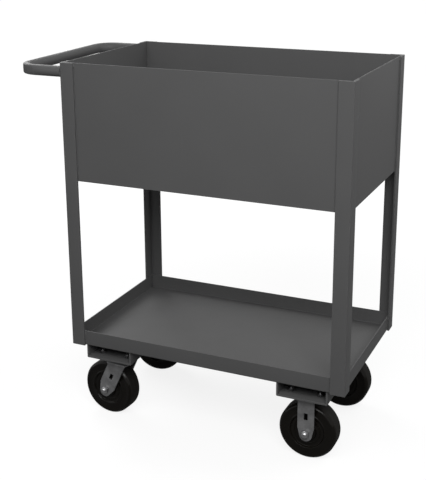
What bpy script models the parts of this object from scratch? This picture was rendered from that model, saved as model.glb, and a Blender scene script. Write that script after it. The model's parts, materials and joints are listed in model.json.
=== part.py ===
"""Service cart: a deep steel box over a flat shelf, on two swivel and two rigid casters.

X runs from the push handle towards the front of the cart, Y to its left and Z up. The origin lies on
the floor, under the middle of the overall length and width. Sizes are in metres.
"""

from math import acos, atan2, cos, hypot, pi, radians, sin, tan

import bmesh
import bpy
from mathutils import Matrix, Vector

# Clearances
FIT_GAP = 0.0003
RUN_GAP = 0.0004
BOLT_HOLE_GAP = 0.0008
CUT_MARGIN = 0.010
WELD_DISTANCE = 1e-6

# Body over the corner posts
BODY_LENGTH = 0.7620
BODY_WIDTH = 0.4572
POST_HEIGHT = 0.7620
POST_LEG = 0.0381
POST_THICKNESS = 0.0048
POST_HEEL_RADIUS = 0.0030
POST_ROOT_RADIUS = 0.0020

# Sheet metal box and lower tray
SHEET_THICKNESS = 0.0027
SHEET_BEND_RADIUS = 0.0015
BOX_DEPTH = 0.3048
BOX_FLOOR_LIP = 0.0381
TRAY_LIP = 0.0415

# Channels under the tray that carry the casters
CHANNEL_WIDTH = 0.1334
CHANNEL_HEIGHT = 0.0381
CHANNEL_THICKNESS = 0.0048
CHANNEL_HEEL_RADIUS = 0.0030
CHANNEL_ROOT_RADIUS = 0.0015
CHANNEL_END_SETBACK = 0.0102
SWIVEL_AXIS_INSET = 0.1054
RIGID_AXIS_INSET = 0.1123
CASTER_SIDE_INSET = 0.0818

# Push handle
HANDLE_TUBE_RADIUS = 0.0140
HANDLE_TUBE_WALL = 0.0021
HANDLE_REACH = 0.1330
HANDLE_DROP = 0.0239
HANDLE_BEND_RADIUS = 0.0500

# Wheels
WHEEL_RADIUS = 0.0762
WHEEL_WIDTH = 0.0508
TREAD_SHOULDER = 0.0062
FACE_RECESS_RADIUS = 0.0475
FACE_RECESS_DEPTH = 0.0050
FACE_RECESS_SLOPE = 0.0060
HUB_RADIUS = 0.0230
HUB_PROUD = 0.0032
HUB_BORE_RADIUS = 0.0151

# Axles
AXLE_RADIUS = 0.00635
AXLE_FLATS = 0.01905
AXLE_HEAD_HEIGHT = 0.0079
AXLE_NUT_HEIGHT = 0.0105
AXLE_THREAD_PROUD = 0.0030
BUSHING_WALL = 0.0028
WHEEL_SIDE_GAP = 0.0025
ROLLER_COUNT = 8
BEARING_END_INSET = 0.0030
BEARING_CAGE_THICKNESS = 0.0030

# Caster forks
FORK_THICKNESS = 0.0048
FORK_BEND_RADIUS = 0.0030
SWIVEL_LEG_WIDTH = 0.0485
RIGID_LEG_WIDTH = 0.0435
LEG_SHOULDER_RISE = 0.0145
LEG_NOSE_RADIUS = 0.0165
LEG_NOSE_DROP = 0.0055
WINDOW_WIDTH = 0.0102
WINDOW_HEIGHT = 0.0195
WINDOW_RISE = 0.0455
WHEEL_CROWN_GAP = 0.0060
SWIVEL_LEAD = 0.0345
SWIVEL_LEG_OFFSET = 0.0040
CROWN_OVERHANG = 0.0030
CROWN_FILLET = 0.0040
SWIVEL_REST_ANGLES = {"right": radians(-5.0), "left": radians(6.0)}

# Swivel bearing and kingpin
BALL_RADIUS = 0.0035
BALL_COUNT = 8
BALL_CIRCLE_RADIUS = 0.0270
BALL_CAGE_WIDTH = 0.0030
BALL_CAGE_THICKNESS = 0.0016
RACE_THICKNESS = 0.0034
RACE_SKIRT_WALL = 0.0026
RACE_SKIRT_GAP = 0.0010
KINGPIN_RADIUS = 0.0080
KINGPIN_COLLAR_RADIUS = 0.0130
KINGPIN_COLLAR_HEIGHT = 0.0024
KINGPIN_HEAD_RADIUS = 0.0120
KINGPIN_HEAD_HEIGHT = 0.0040

# Caster plates and their bolts
PLATE_THICKNESS = 0.0063
PLATE_END_MARGIN = 0.01905
PLATE_SIDE_MARGIN = 0.0127
PLATE_CORNER_RADIUS = 0.0080
BOLT_SPACING_X = 0.0762
BOLT_SPACING_Y = 0.0762
BOLT_RADIUS = 0.00475
BOLT_FLATS = 0.0143
BOLT_HEAD_HEIGHT = 0.0060
BOLT_NUT_HEIGHT = 0.0083
BOLT_THREAD_PROUD = 0.0040
SLOT_TRAVEL = 0.0045

# Sides of the round pieces
WHEEL_SIDES = 32
TUBE_SIDES = 14
RACE_SIDES = 24
PIN_SIDES = 16
SMALL_SIDES = 8
ROLLER_SIDES = 6
BALL_SIDES = 6
BALL_RINGS = 4
CORNER_STEPS = 3
PLATE_CORNER_STEPS = 2
HANDLE_BEND_STEPS = 7
CRISP_ANGLE = radians(35)

# Stack of heights, from the floor up
CROWN_UNDERSIDE = 2 * WHEEL_RADIUS + WHEEL_CROWN_GAP
CROWN_TOP = CROWN_UNDERSIDE + FORK_THICKNESS
PLATE_UNDERSIDE = CROWN_TOP + 2 * RACE_THICKNESS + 2 * BALL_RADIUS + 3 * FIT_GAP
PLATE_TOP = PLATE_UNDERSIDE + PLATE_THICKNESS
WEB_UNDERSIDE = PLATE_TOP + FIT_GAP
WEB_TOP = WEB_UNDERSIDE + CHANNEL_THICKNESS
FOOT_Z = PLATE_TOP + CHANNEL_HEIGHT
RIM_Z = FOOT_Z + POST_HEIGHT
BOX_BOTTOM_Z = RIM_Z - BOX_DEPTH

# Places that several pieces share
BODY_CENTRE_X = (HANDLE_REACH + HANDLE_TUBE_RADIUS) / 2
INNER_HALF_LENGTH = BODY_LENGTH / 2 - POST_THICKNESS - FIT_GAP
INNER_HALF_WIDTH = BODY_WIDTH / 2 - POST_THICKNESS - FIT_GAP
HANDLE_ARM_Y = BODY_WIDTH / 2 - HANDLE_TUBE_RADIUS
SWIVEL_AXIS_X = BODY_CENTRE_X - BODY_LENGTH / 2 + SWIVEL_AXIS_INSET
RIGID_AXIS_X = BODY_CENTRE_X + BODY_LENGTH / 2 - RIGID_AXIS_INSET
CASTER_Y = BODY_WIDTH / 2 - CASTER_SIDE_INSET
SIDES = {"right": -1, "left": 1}

# Sizes that follow from the pieces they hold
HUB_LENGTH = WHEEL_WIDTH + 2 * HUB_PROUD
FORK_INNER_WIDTH = HUB_LENGTH + 2 * WHEEL_SIDE_GAP
FORK_OUTER_WIDTH = FORK_INNER_WIDTH + 2 * FORK_THICKNESS
BUSHING_RADIUS = AXLE_RADIUS + FIT_GAP + BUSHING_WALL
SKIRT_INNER_RADIUS = BALL_CIRCLE_RADIUS + BALL_RADIUS + RUN_GAP

# Finishes as colour, roughness and metallic value
POWDER_COAT = ((0.088, 0.088, 0.088), 0.50, 0.0)
ZINC_STEEL = ((0.170, 0.170, 0.172), 0.42, 0.8)
BRIGHT_STEEL = ((0.480, 0.480, 0.485), 0.30, 1.0)
BLACK_RESIN = ((0.010, 0.010, 0.009), 0.45, 0.0)


def make_collection(name):
    """Adds a collection to the scene and returns it."""
    collection = bpy.data.collections.new(name)
    bpy.context.scene.collection.children.link(collection)
    return collection


def add_object(name, mesh, collection, parent=None, location=(0, 0, 0), rotation=(0, 0, 0)):
    """Adds an object of a mesh to a collection, placed under its parent."""
    item = bpy.data.objects.new(name, mesh)
    item.location = location
    item.rotation_euler = rotation
    item.parent = parent
    collection.objects.link(item)
    return item


def add_station(name, location, turn=0.0, parent=None):
    """Adds an empty that carries the pieces around one axis."""
    return add_object(name, None, CART, parent, location, (0, 0, turn))


def add_part(name, mesh, finish, parent=None, location=(0, 0, 0), rotation=(0, 0, 0)):
    """Adds a named piece of the cart with a material of its own."""
    part = add_object(name, mesh, CART, parent, location, rotation)
    colour, roughness, metallic = finish
    material = bpy.data.materials.new(f"{name}_finish")
    material.use_nodes = True
    shader = material.node_tree.nodes["Principled BSDF"]
    shader.inputs["Base Color"].default_value = (*colour, 1)
    shader.inputs["Roughness"].default_value = roughness
    shader.inputs["Metallic"].default_value = metallic
    material.diffuse_color = (*colour, 1)
    part.data.materials.append(material)
    return part


def add_boolean(part, operation, mesh):
    """Cuts, joins or trims a piece with a solid given in the piece's own frame."""
    tool = add_object(f"{part.name}_{operation.lower()}", mesh, CUTTERS, part)
    tool.hide_render = True
    tool.display_type = "WIRE"
    modifier = part.modifiers.new(operation.title(), "BOOLEAN")
    modifier.operation = operation
    modifier.object = tool


def mesh_from_bmesh(name, shape):
    """Turns a bmesh into a mesh with its faces pointing out."""
    bmesh.ops.recalc_face_normals(shape, faces=shape.faces)
    mesh = bpy.data.meshes.new(name)
    shape.to_mesh(mesh)
    shape.free()
    return mesh


def mesh_from_object(item):
    """Makes a mesh of an evaluated object, with its loose caps welded on, and removes the object."""
    bpy.context.view_layer.update()
    evaluated = item.evaluated_get(bpy.context.evaluated_depsgraph_get())
    mesh = bpy.data.meshes.new_from_object(evaluated)
    shape = bmesh.new()
    shape.from_mesh(mesh)
    bmesh.ops.remove_doubles(shape, verts=shape.verts, dist=WELD_DISTANCE)
    shape.to_mesh(mesh)
    shape.free()
    bpy.data.objects.remove(item)
    return mesh


def shade_round(mesh):
    """Shades the round faces smooth and keeps the sharper edges crisp."""
    mesh.shade_smooth()
    mesh.set_sharp_from_angle(angle=CRISP_ANGLE)


def rounded(corners, closed=True, steps=CORNER_STEPS):
    """Returns the points of a path whose corners (x, y, radius) are turned into arcs."""
    points = []
    for index, (x, y, radius) in enumerate(corners):
        corner = Vector((x, y))
        at_end = not closed and index in (0, len(corners) - 1)
        if at_end or radius == 0:
            points.append(corner)
            continue
        back = (Vector(corners[index - 1][:2]) - corner).normalized()
        ahead = (Vector(corners[(index + 1) % len(corners)][:2]) - corner).normalized()
        half = back.angle(ahead) / 2
        centre = corner + (back + ahead).normalized() * (radius / sin(half))
        start = corner + back * (radius / tan(half)) - centre
        sweep = (pi - 2 * half) * (1 if back.cross(ahead) < 0 else -1)
        for step in range(steps + 1):
            turned = Matrix.Rotation(sweep * step / steps, 2) @ start
            points.append(centre + turned)
    return points


def circle(radius, sides, centre=(0, 0), bore=False):
    """Returns the points of a round loop; the flats of a bore, not its corners, lie at the radius."""
    reach = radius / cos(pi / sides) if bore else radius
    angles = [2 * pi * (step + 0.5) / sides for step in range(sides)]
    return [Vector((centre[0] + reach * cos(a), centre[1] + reach * sin(a))) for a in angles]


def hexagon(flats):
    """Returns the six corners of a hexagon of a given width across its flats."""
    return circle(flats / 2, 6, bore=True)


def flat_solid(name, loops, low, high):
    """Returns a mesh of flat loops in XY, holes among them, that reaches from low to high in Z."""
    curve = bpy.data.curves.new(name, "CURVE")
    curve.dimensions = "2D"
    curve.fill_mode = "BOTH"
    curve.extrude = (high - low) / 2
    for loop in loops:
        spline = curve.splines.new("POLY")
        spline.points.add(len(loop) - 1)
        for point, (x, y) in zip(spline.points, loop):
            point.co = (x, y, 0, 1)
        spline.use_cyclic_u = True
    mesh = mesh_from_object(add_object(name, curve, CART))
    mesh.transform(Matrix.Translation((0, 0, (low + high) / 2)))
    return mesh


def side_solid(name, loops, low, high):
    """Returns a mesh of loops drawn in XZ that reaches from low to high in Y."""
    mesh = flat_solid(name, loops, -high, -low)
    mesh.transform(Matrix.Rotation(pi / 2, 4, "X"))
    return mesh


def end_solid(name, loops, low, high):
    """Returns a mesh of loops drawn in YZ that reaches from low to high in X."""
    mesh = flat_solid(name, loops, low, high)
    mesh.transform(Matrix.Rotation(pi / 2, 4, "Z") @ Matrix.Rotation(pi / 2, 4, "X"))
    return mesh


def box_solid(name, low, high):
    """Returns a mesh of a box between two corners."""
    shape = bmesh.new()
    low, high = Vector(low), Vector(high)
    place = Matrix.Translation((low + high) / 2) @ Matrix.Diagonal((*(high - low), 1))
    bmesh.ops.create_cube(shape, size=1, matrix=place)
    return mesh_from_bmesh(name, shape)


def turned_part(name, profile, sides, finish, parent, location=(0, 0, 0), rotation=(0, 0, 0), ring=True):
    """Adds a turned piece: a profile of (radius, height) that runs down its outer side."""
    mesh = bpy.data.meshes.new(name)
    count = len(profile)
    edges = [(index, index + 1) for index in range(count - 1)]
    if ring:
        edges.append((count - 1, 0))
    mesh.from_pydata([(radius, 0, height) for radius, height in profile], edges, [])
    part = add_part(name, mesh, finish, parent, location, rotation)
    screw = part.modifiers.new("Turning", "SCREW")
    screw.steps = sides
    screw.render_steps = sides
    screw.use_merge_vertices = True
    screw.merge_threshold = WELD_DISTANCE
    screw.use_smooth_shade = True
    return part


def copies_of(name, mesh, places):
    """Returns one mesh that holds a separate copy of a solid at each place."""
    shape = bmesh.new()
    for place in places:
        copy = mesh.copy()
        copy.transform(place)
        shape.from_mesh(copy)
        bpy.data.meshes.remove(copy)
    bpy.data.meshes.remove(mesh)
    return mesh_from_bmesh(name, shape)


def bolt_solid(name, radius, flats, head_height, nut_seat, nut_height, proud):
    """Returns a mesh of a hexagon bolt with its nut: the head seats at Z 0 and the shank points up."""
    head = flat_solid(f"{name}_head", [hexagon(flats)], -head_height, 0)
    bolt = add_object(name, head, CART)
    end = nut_seat + nut_height + proud
    add_boolean(bolt, "UNION", flat_solid("shank", [circle(radius, SMALL_SIDES)], -head_height / 2, end))
    add_boolean(bolt, "UNION", flat_solid("nut", [hexagon(flats)], nut_seat, nut_seat + nut_height))
    return mesh_from_object(bolt)


def add_posts():
    """Adds the four corner posts: steel angles that open towards the middle of the cart."""
    corners = [
        (0, 0, POST_HEEL_RADIUS),
        (POST_LEG, 0, 0),
        (POST_LEG, POST_THICKNESS, 0),
        (POST_THICKNESS, POST_THICKNESS, POST_ROOT_RADIUS),
        (POST_THICKNESS, POST_LEG, 0),
        (0, POST_LEG, 0),
    ]
    for end, x_sign in (("front", 1), ("rear", -1)):
        for side, y_sign in SIDES.items():
            heel = Vector((x_sign * BODY_LENGTH / 2, y_sign * BODY_WIDTH / 2))
            loop = [heel - Vector((x_sign * x, y_sign * y)) for x, y in rounded(corners)]
            mesh = flat_solid("angle", [loop], FOOT_Z, RIM_Z)
            add_part(f"post_{end}_{side}", mesh, POWDER_COAT, BODY)


def add_box_panels():
    """Adds the two side panels and, between them, the two end panels of the upper box."""
    side_half = INNER_HALF_LENGTH - POST_ROOT_RADIUS
    side_inner = INNER_HALF_WIDTH - SHEET_THICKNESS
    for side, sign in SIDES.items():
        faces = sorted((sign * side_inner, sign * INNER_HALF_WIDTH))
        mesh = box_solid("sheet", (-side_half, faces[0], BOX_BOTTOM_Z), (side_half, faces[1], RIM_Z))
        add_part(f"box_panel_{side}", mesh, POWDER_COAT, BODY)
    end_half = side_inner - FIT_GAP
    end_inner = INNER_HALF_LENGTH - SHEET_THICKNESS
    for end, sign in (("front", 1), ("rear", -1)):
        faces = sorted((sign * end_inner, sign * INNER_HALF_LENGTH))
        mesh = box_solid("sheet", (faces[0], -end_half, BOX_BOTTOM_Z), (faces[1], end_half, RIM_Z))
        add_part(f"box_panel_{end}", mesh, POWDER_COAT, BODY)


def add_pan(name, half_length, half_width, bottom, lip):
    """Adds a tray bent from one sheet: a floor with a lip turned up along each edge."""
    shape = bmesh.new()
    size = (2 * half_length, 2 * half_width, lip)
    place = Matrix.Translation((0, 0, bottom + lip / 2)) @ Matrix.Diagonal((*size, 1))
    bmesh.ops.create_cube(shape, size=1, matrix=place)
    top = [face for face in shape.faces if face.normal.z > 0.5]
    bmesh.ops.delete(shape, geom=top, context="FACES_ONLY")
    bends = [edge for edge in shape.edges if not edge.is_boundary]
    radius = SHEET_BEND_RADIUS + SHEET_THICKNESS
    bmesh.ops.bevel(shape, geom=bends, offset=radius, segments=CORNER_STEPS, profile=0.5, affect="EDGES")
    mesh = bpy.data.meshes.new(name)
    shape.to_mesh(mesh)
    shape.free()
    shade_round(mesh)
    pan = add_part(name, mesh, POWDER_COAT, BODY)
    sheet = pan.modifiers.new("Sheet", "SOLIDIFY")
    sheet.thickness = SHEET_THICKNESS
    sheet.offset = -1
    sheet.use_even_offset = True


def add_trays():
    """Adds the floor pan inside the box and the lower tray between the posts."""
    inset = SHEET_THICKNESS + FIT_GAP
    add_pan("box_floor", INNER_HALF_LENGTH - inset, INNER_HALF_WIDTH - inset, BOX_BOTTOM_Z, BOX_FLOOR_LIP)
    add_pan("lower_tray", INNER_HALF_LENGTH, INNER_HALF_WIDTH, FOOT_Z, TRAY_LIP)


def bolt_places(x, y, z):
    """Returns the four places of a caster's bolts around its plate's centre."""
    offsets = [(a, b) for a in (-1, 1) for b in (-1, 1)]
    return [Vector((x + a * BOLT_SPACING_X / 2, y + b * BOLT_SPACING_Y / 2, z)) for a, b in offsets]


def add_channel(name, axis_x):
    """Adds a channel across the cart, open upwards, with the bolt holes of its two casters."""
    half = CHANNEL_WIDTH / 2
    wall = CHANNEL_THICKNESS
    flange_top = FOOT_Z - FIT_GAP
    corners = [
        (-half, WEB_UNDERSIDE, CHANNEL_HEEL_RADIUS),
        (half, WEB_UNDERSIDE, CHANNEL_HEEL_RADIUS),
        (half, flange_top, 0),
        (half - wall, flange_top, 0),
        (half - wall, WEB_TOP, CHANNEL_ROOT_RADIUS),
        (wall - half, WEB_TOP, CHANNEL_ROOT_RADIUS),
        (wall - half, flange_top, 0),
        (-half, flange_top, 0),
    ]
    reach = BODY_WIDTH / 2 - CHANNEL_END_SETBACK
    mesh = side_solid("channel", [rounded(corners)], -reach, reach)
    channel = add_part(name, mesh, POWDER_COAT, BODY, (axis_x - BODY_CENTRE_X, 0, 0))
    places = bolt_places(0, -CASTER_Y, 0) + bolt_places(0, CASTER_Y, 0)
    loop = circle(BOLT_RADIUS + BOLT_HOLE_GAP, SMALL_SIDES, bore=True)
    hole = flat_solid("hole", [loop], WEB_UNDERSIDE - CUT_MARGIN, WEB_TOP + CUT_MARGIN)
    holes = copies_of("holes", hole, [Matrix.Translation(place) for place in places])
    add_boolean(channel, "DIFFERENCE", holes)


def tube_mesh(name, path, radius):
    """Returns a mesh of a round bar that follows a flat path, with closed ends."""
    curve = bpy.data.curves.new(name, "CURVE")
    curve.dimensions = "3D"
    curve.bevel_depth = radius
    curve.bevel_resolution = (TUBE_SIDES - 4) // 2
    curve.use_fill_caps = True
    spline = curve.splines.new("POLY")
    spline.points.add(len(path) - 1)
    for point, (x, y) in zip(spline.points, path):
        point.co = (x, y, 0, 1)
    return mesh_from_object(add_object(name, curve, CART))


def add_handle():
    """Adds the push handle: a round tube bent into a U, its arms flush with the rear posts' sides."""
    start = -BODY_LENGTH / 2 - FIT_GAP
    bar = -BODY_LENGTH / 2 - HANDLE_REACH
    bend = HANDLE_BEND_RADIUS

    def path(root):
        corners = [(root, -HANDLE_ARM_Y, 0), (bar, -HANDLE_ARM_Y, bend), (bar, HANDLE_ARM_Y, bend)]
        return rounded([*corners, (root, HANDLE_ARM_Y, 0)], closed=False, steps=HANDLE_BEND_STEPS)

    outer = tube_mesh("push_handle", path(start), HANDLE_TUBE_RADIUS)
    bore = tube_mesh("handle_bore", path(start + CUT_MARGIN), HANDLE_TUBE_RADIUS - HANDLE_TUBE_WALL)
    shade_round(outer)
    shade_round(bore)
    place = (0, 0, RIM_Z - HANDLE_DROP)
    handle = add_part("push_handle", outer, POWDER_COAT, BODY, place)
    add_boolean(handle, "DIFFERENCE", bore)


def add_caster_bolts():
    """Adds the four bolts, each with its nut, that hold each caster's plate to its channel."""
    seat = PLATE_UNDERSIDE - FIT_GAP
    nut_seat = WEB_TOP + FIT_GAP - seat
    bolt = bolt_solid(
        "bolt", BOLT_RADIUS, BOLT_FLATS, BOLT_HEAD_HEIGHT, nut_seat, BOLT_NUT_HEIGHT, BOLT_THREAD_PROUD
    )
    for end, axis_x in (("front", RIGID_AXIS_X), ("rear", SWIVEL_AXIS_X)):
        for side, sign in SIDES.items():
            spots = bolt_places(axis_x - BODY_CENTRE_X, sign * CASTER_Y, seat)
            for number, spot in enumerate(spots, start=1):
                name = f"caster_bolt_{end}_{side}_{number}"
                add_part(name, bolt.copy(), BRIGHT_STEEL, BODY, spot)


def add_plate(name, station, centre_hole):
    """Adds a caster's top plate, with four slots that run towards its longer edges."""
    half_x = BOLT_SPACING_X / 2 + PLATE_END_MARGIN
    half_y = BOLT_SPACING_Y / 2 + PLATE_SIDE_MARGIN
    signs = ((-1, -1), (1, -1), (1, 1), (-1, 1))
    corners = [(a * half_x, b * half_y, PLATE_CORNER_RADIUS) for a, b in signs]
    loops = [rounded(corners, steps=PLATE_CORNER_STEPS)]
    radius = (BOLT_RADIUS + BOLT_HOLE_GAP) / cos(pi / SMALL_SIDES)
    for place in bolt_places(0, 0, 0):
        along = Vector((place.x, -place.y)).normalized()
        turn = atan2(along.y, along.x)
        steps = SMALL_SIDES // 2
        slot = []
        for start, centre in ((-pi / 2, place.xy + along * SLOT_TRAVEL), (pi / 2, place.xy)):
            for step in range(steps + 1):
                angle = turn + start + pi * step / steps
                slot.append(centre + radius * Vector((cos(angle), sin(angle))))
        loops.append(slot)
    if centre_hole:
        loops.append(circle(KINGPIN_RADIUS + FIT_GAP, PIN_SIDES, bore=True))
    mesh = flat_solid("plate", loops, PLATE_UNDERSIDE, PLATE_TOP)
    add_part(name, mesh, ZINC_STEEL, station)


def leg_loops(axle, crown, width, shelf_reach=None):
    """Returns the outline of a fork seen from the side, with its window and axle hole.

    The leg runs from the axle to the crown, both (x, z) points, and tapers from its full width to a
    round nose below the axle. With a shelf, the crown reaches that far back and forward of the swivel
    axis.
    """
    axle, crown = Vector(axle), Vector(crown)
    along = (crown - axle).normalized()
    across = Vector((along.y, -along.x))
    half = width / 2
    above_nose = LEG_SHOULDER_RISE + LEG_NOSE_DROP
    taper = acos(LEG_NOSE_RADIUS / hypot(half, above_nose)) - atan2(above_nose, half)
    tip = axle + along * (LEG_SHOULDER_RISE - half / tan(taper))

    def flank(sign):
        """Returns the corners of one flank, from its top down to its shoulder."""
        foot = axle + across * (sign * half)
        shoulder = foot + along * LEG_SHOULDER_RISE
        if shelf_reach is None:
            top = foot + along * ((PLATE_TOP - foot.y) / along.y)
            return [(*top, 0), (*shoulder, 0)]
        root = foot + along * ((crown.y - foot.y) / along.y)
        shelf = sign * shelf_reach
        return [(shelf, PLATE_TOP, 0), (shelf, crown.y, 0), (*root, CROWN_FILLET), (*shoulder, 0)]

    outline = rounded([*flank(1), (*tip, LEG_NOSE_RADIUS), *reversed(flank(-1))], steps=2 * CORNER_STEPS)
    centre = axle + along * WINDOW_RISE
    sideways = across * (WINDOW_WIDTH / 2)
    upwards = along * (WINDOW_HEIGHT / 2)
    window = [centre + a * sideways + b * upwards for a, b in ((-1, -1), (1, -1), (1, 1), (-1, 1))]
    return [outline, window, circle(AXLE_RADIUS + FIT_GAP, PIN_SIDES, axle, bore=True)]


def add_fork(name, station, crown_top, loops, back, front):
    """Adds a fork: a strip bent into a U over the wheel, trimmed to the outline of its legs."""
    half = FORK_OUTER_WIDTH / 2
    inner = FORK_INNER_WIDTH / 2
    corners = [
        (-half, 0, 0),
        (-inner, 0, 0),
        (-inner, crown_top - FORK_THICKNESS, FORK_BEND_RADIUS),
        (inner, crown_top - FORK_THICKNESS, FORK_BEND_RADIUS),
        (inner, 0, 0),
        (half, 0, 0),
        (half, crown_top, FORK_BEND_RADIUS + FORK_THICKNESS),
        (-half, crown_top, FORK_BEND_RADIUS + FORK_THICKNESS),
    ]
    strip = end_solid("strip", [rounded(corners)], back - CUT_MARGIN, front + CUT_MARGIN)
    fork = add_part(name, strip, ZINC_STEEL, station)
    trim = side_solid("trim", loops, -half - CUT_MARGIN, half + CUT_MARGIN)
    add_boolean(fork, "INTERSECT", trim)
    return fork


def add_axle_set(corner, station, outboard):
    """Adds a wheel with everything on its axle, and returns the wheel's station.

    The station lies on the axle and is turned so that its Z axis points along the axle, outboard.
    """
    turn = (pi / 2, 0, 0) if outboard < 0 else (-pi / 2, 0, 0)
    hub = add_object(f"axle_{corner}", None, CART, station, (0, 0, 0), turn)
    hub_half = HUB_LENGTH / 2
    face = WHEEL_WIDTH / 2
    tread = WHEEL_RADIUS / cos(pi / WHEEL_SIDES)
    floor = face - FACE_RECESS_DEPTH
    outer = [
        (HUB_BORE_RADIUS / cos(pi / WHEEL_SIDES), hub_half),
        (HUB_RADIUS, hub_half),
        (HUB_RADIUS + HUB_PROUD, floor),
        (FACE_RECESS_RADIUS - FACE_RECESS_SLOPE, floor),
        (FACE_RECESS_RADIUS, face),
        (tread - TREAD_SHOULDER, face),
        (tread, face - TREAD_SHOULDER),
    ]
    profile = outer + [(radius, -height) for radius, height in reversed(outer)]
    half_step = (0, 0, pi / WHEEL_SIDES)
    turned_part(f"wheel_{corner}", profile, WHEEL_SIDES, BLACK_RESIN, hub, rotation=half_step)

    bushing_half = FORK_INNER_WIDTH / 2 - FIT_GAP
    bore = circle(AXLE_RADIUS + FIT_GAP, PIN_SIDES, bore=True)
    mesh = flat_solid("bushing", [circle(BUSHING_RADIUS, PIN_SIDES), bore], -bushing_half, bushing_half)
    shade_round(mesh)
    add_part(f"spanner_bushing_{corner}", mesh, BRIGHT_STEEL, hub)

    add_roller_bearing(corner, hub, hub_half - BEARING_END_INSET)
    leg_face = FORK_OUTER_WIDTH / 2 + FIT_GAP
    bolt = bolt_solid(
        "axle", AXLE_RADIUS, AXLE_FLATS, AXLE_HEAD_HEIGHT, 2 * leg_face, AXLE_NUT_HEIGHT, AXLE_THREAD_PROUD
    )
    add_part(f"axle_bolt_{corner}", bolt, BRIGHT_STEEL, hub, (0, 0, -leg_face))


def add_roller_bearing(corner, hub, half_length):
    """Adds the rollers between bushing and bore, held at both ends by the rings of their cage."""
    track = (HUB_BORE_RADIUS - BUSHING_RADIUS) / 2
    centre = BUSHING_RADIUS + track
    reach = half_length - BEARING_CAGE_THICKNESS / 2
    roller = flat_solid("roller", [circle(track - FIT_GAP, ROLLER_SIDES)], -reach, reach)
    places = []
    for index in range(ROLLER_COUNT):
        swing = Matrix.Rotation(2 * pi * index / ROLLER_COUNT, 4, "Z")
        places.append(swing @ Matrix.Translation((centre, 0, 0)))
    cage = [
        circle(HUB_BORE_RADIUS - RUN_GAP, PIN_SIDES),
        circle(BUSHING_RADIUS + RUN_GAP, PIN_SIDES, bore=True),
    ]
    ring = flat_solid("ring", cage, 0, BEARING_CAGE_THICKNESS)
    ends = [Matrix.Translation((0, 0, z)) for z in (-half_length, half_length - BEARING_CAGE_THICKNESS)]
    bearing = add_part(f"roller_bearing_{corner}", copies_of("cage", ring, ends), BRIGHT_STEEL, hub)
    add_boolean(bearing, "UNION", copies_of("rollers", roller, places))


def add_rigid_caster(side, sign):
    """Adds a rigid caster at the front of the cart."""
    station = add_station(f"rigid_caster_{side}", (RIGID_AXIS_X, sign * CASTER_Y, 0))
    add_plate(f"rigid_plate_{side}", station, centre_hole=False)
    crown_top = PLATE_UNDERSIDE - FIT_GAP
    loops = leg_loops((0, WHEEL_RADIUS), (0, crown_top), RIGID_LEG_WIDTH)
    reach = RIGID_LEG_WIDTH / 2
    add_fork(f"rigid_fork_{side}", station, crown_top, loops, -reach, reach)
    axle = add_station(f"rigid_axle_{side}", (0, 0, WHEEL_RADIUS), parent=station)
    add_axle_set(f"front_{side}", axle, sign)


def add_swivel_bearing(side, station, turntable):
    """Adds the upper race, the balls in their cage and the kingpin, riveted under the crown."""
    race_top = PLATE_UNDERSIDE - FIT_GAP
    race_under = race_top - RACE_THICKNESS
    skirt_inner = SKIRT_INNER_RADIUS / cos(pi / RACE_SIDES)
    skirt_outer = skirt_inner + RACE_SKIRT_WALL
    skirt_foot = CROWN_TOP + RACE_SKIRT_GAP
    bore = (KINGPIN_RADIUS + FIT_GAP) / cos(pi / RACE_SIDES)
    profile = [
        (bore, race_top),
        (skirt_outer, race_top),
        (skirt_outer, skirt_foot),
        (skirt_inner, skirt_foot),
        (skirt_inner, race_under),
        (bore, race_under),
    ]
    turned_part(f"swivel_race_{side}", profile, RACE_SIDES, ZINC_STEEL, station)

    height = CROWN_TOP + RACE_THICKNESS + FIT_GAP + BALL_RADIUS
    cage = [
        circle(BALL_CIRCLE_RADIUS + BALL_CAGE_WIDTH / 2, 2 * BALL_COUNT),
        circle(BALL_CIRCLE_RADIUS - BALL_CAGE_WIDTH / 2, 2 * BALL_COUNT),
    ]
    ring = flat_solid("cage", cage, height - BALL_CAGE_THICKNESS / 2, height + BALL_CAGE_THICKNESS / 2)
    balls = add_part(f"swivel_balls_{side}", ring, BRIGHT_STEEL, turntable)
    shape = bmesh.new()
    for index in range(BALL_COUNT):
        swing = Matrix.Rotation(2 * pi * index / BALL_COUNT, 4, "Z")
        place = swing @ Matrix.Translation((BALL_CIRCLE_RADIUS, 0, height))
        bmesh.ops.create_uvsphere(
            shape, u_segments=BALL_SIDES, v_segments=BALL_RINGS, radius=BALL_RADIUS, matrix=place
        )
    add_boolean(balls, "UNION", mesh_from_bmesh("balls", shape))

    collar_top = race_under - FIT_GAP
    collar_foot = collar_top - KINGPIN_COLLAR_HEIGHT
    head_top = CROWN_UNDERSIDE - RUN_GAP
    profile = [
        (0, PLATE_TOP),
        (KINGPIN_RADIUS, PLATE_TOP),
        (KINGPIN_RADIUS, collar_top),
        (KINGPIN_COLLAR_RADIUS, collar_top),
        (KINGPIN_COLLAR_RADIUS, collar_foot),
        (KINGPIN_RADIUS, collar_foot),
        (KINGPIN_RADIUS, head_top),
        (KINGPIN_HEAD_RADIUS, head_top),
        (KINGPIN_RADIUS, head_top - KINGPIN_HEAD_HEIGHT),
        (0, head_top - KINGPIN_HEAD_HEIGHT),
    ]
    turned_part(f"kingpin_{side}", profile, PIN_SIDES, ZINC_STEEL, station, ring=False)


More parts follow.
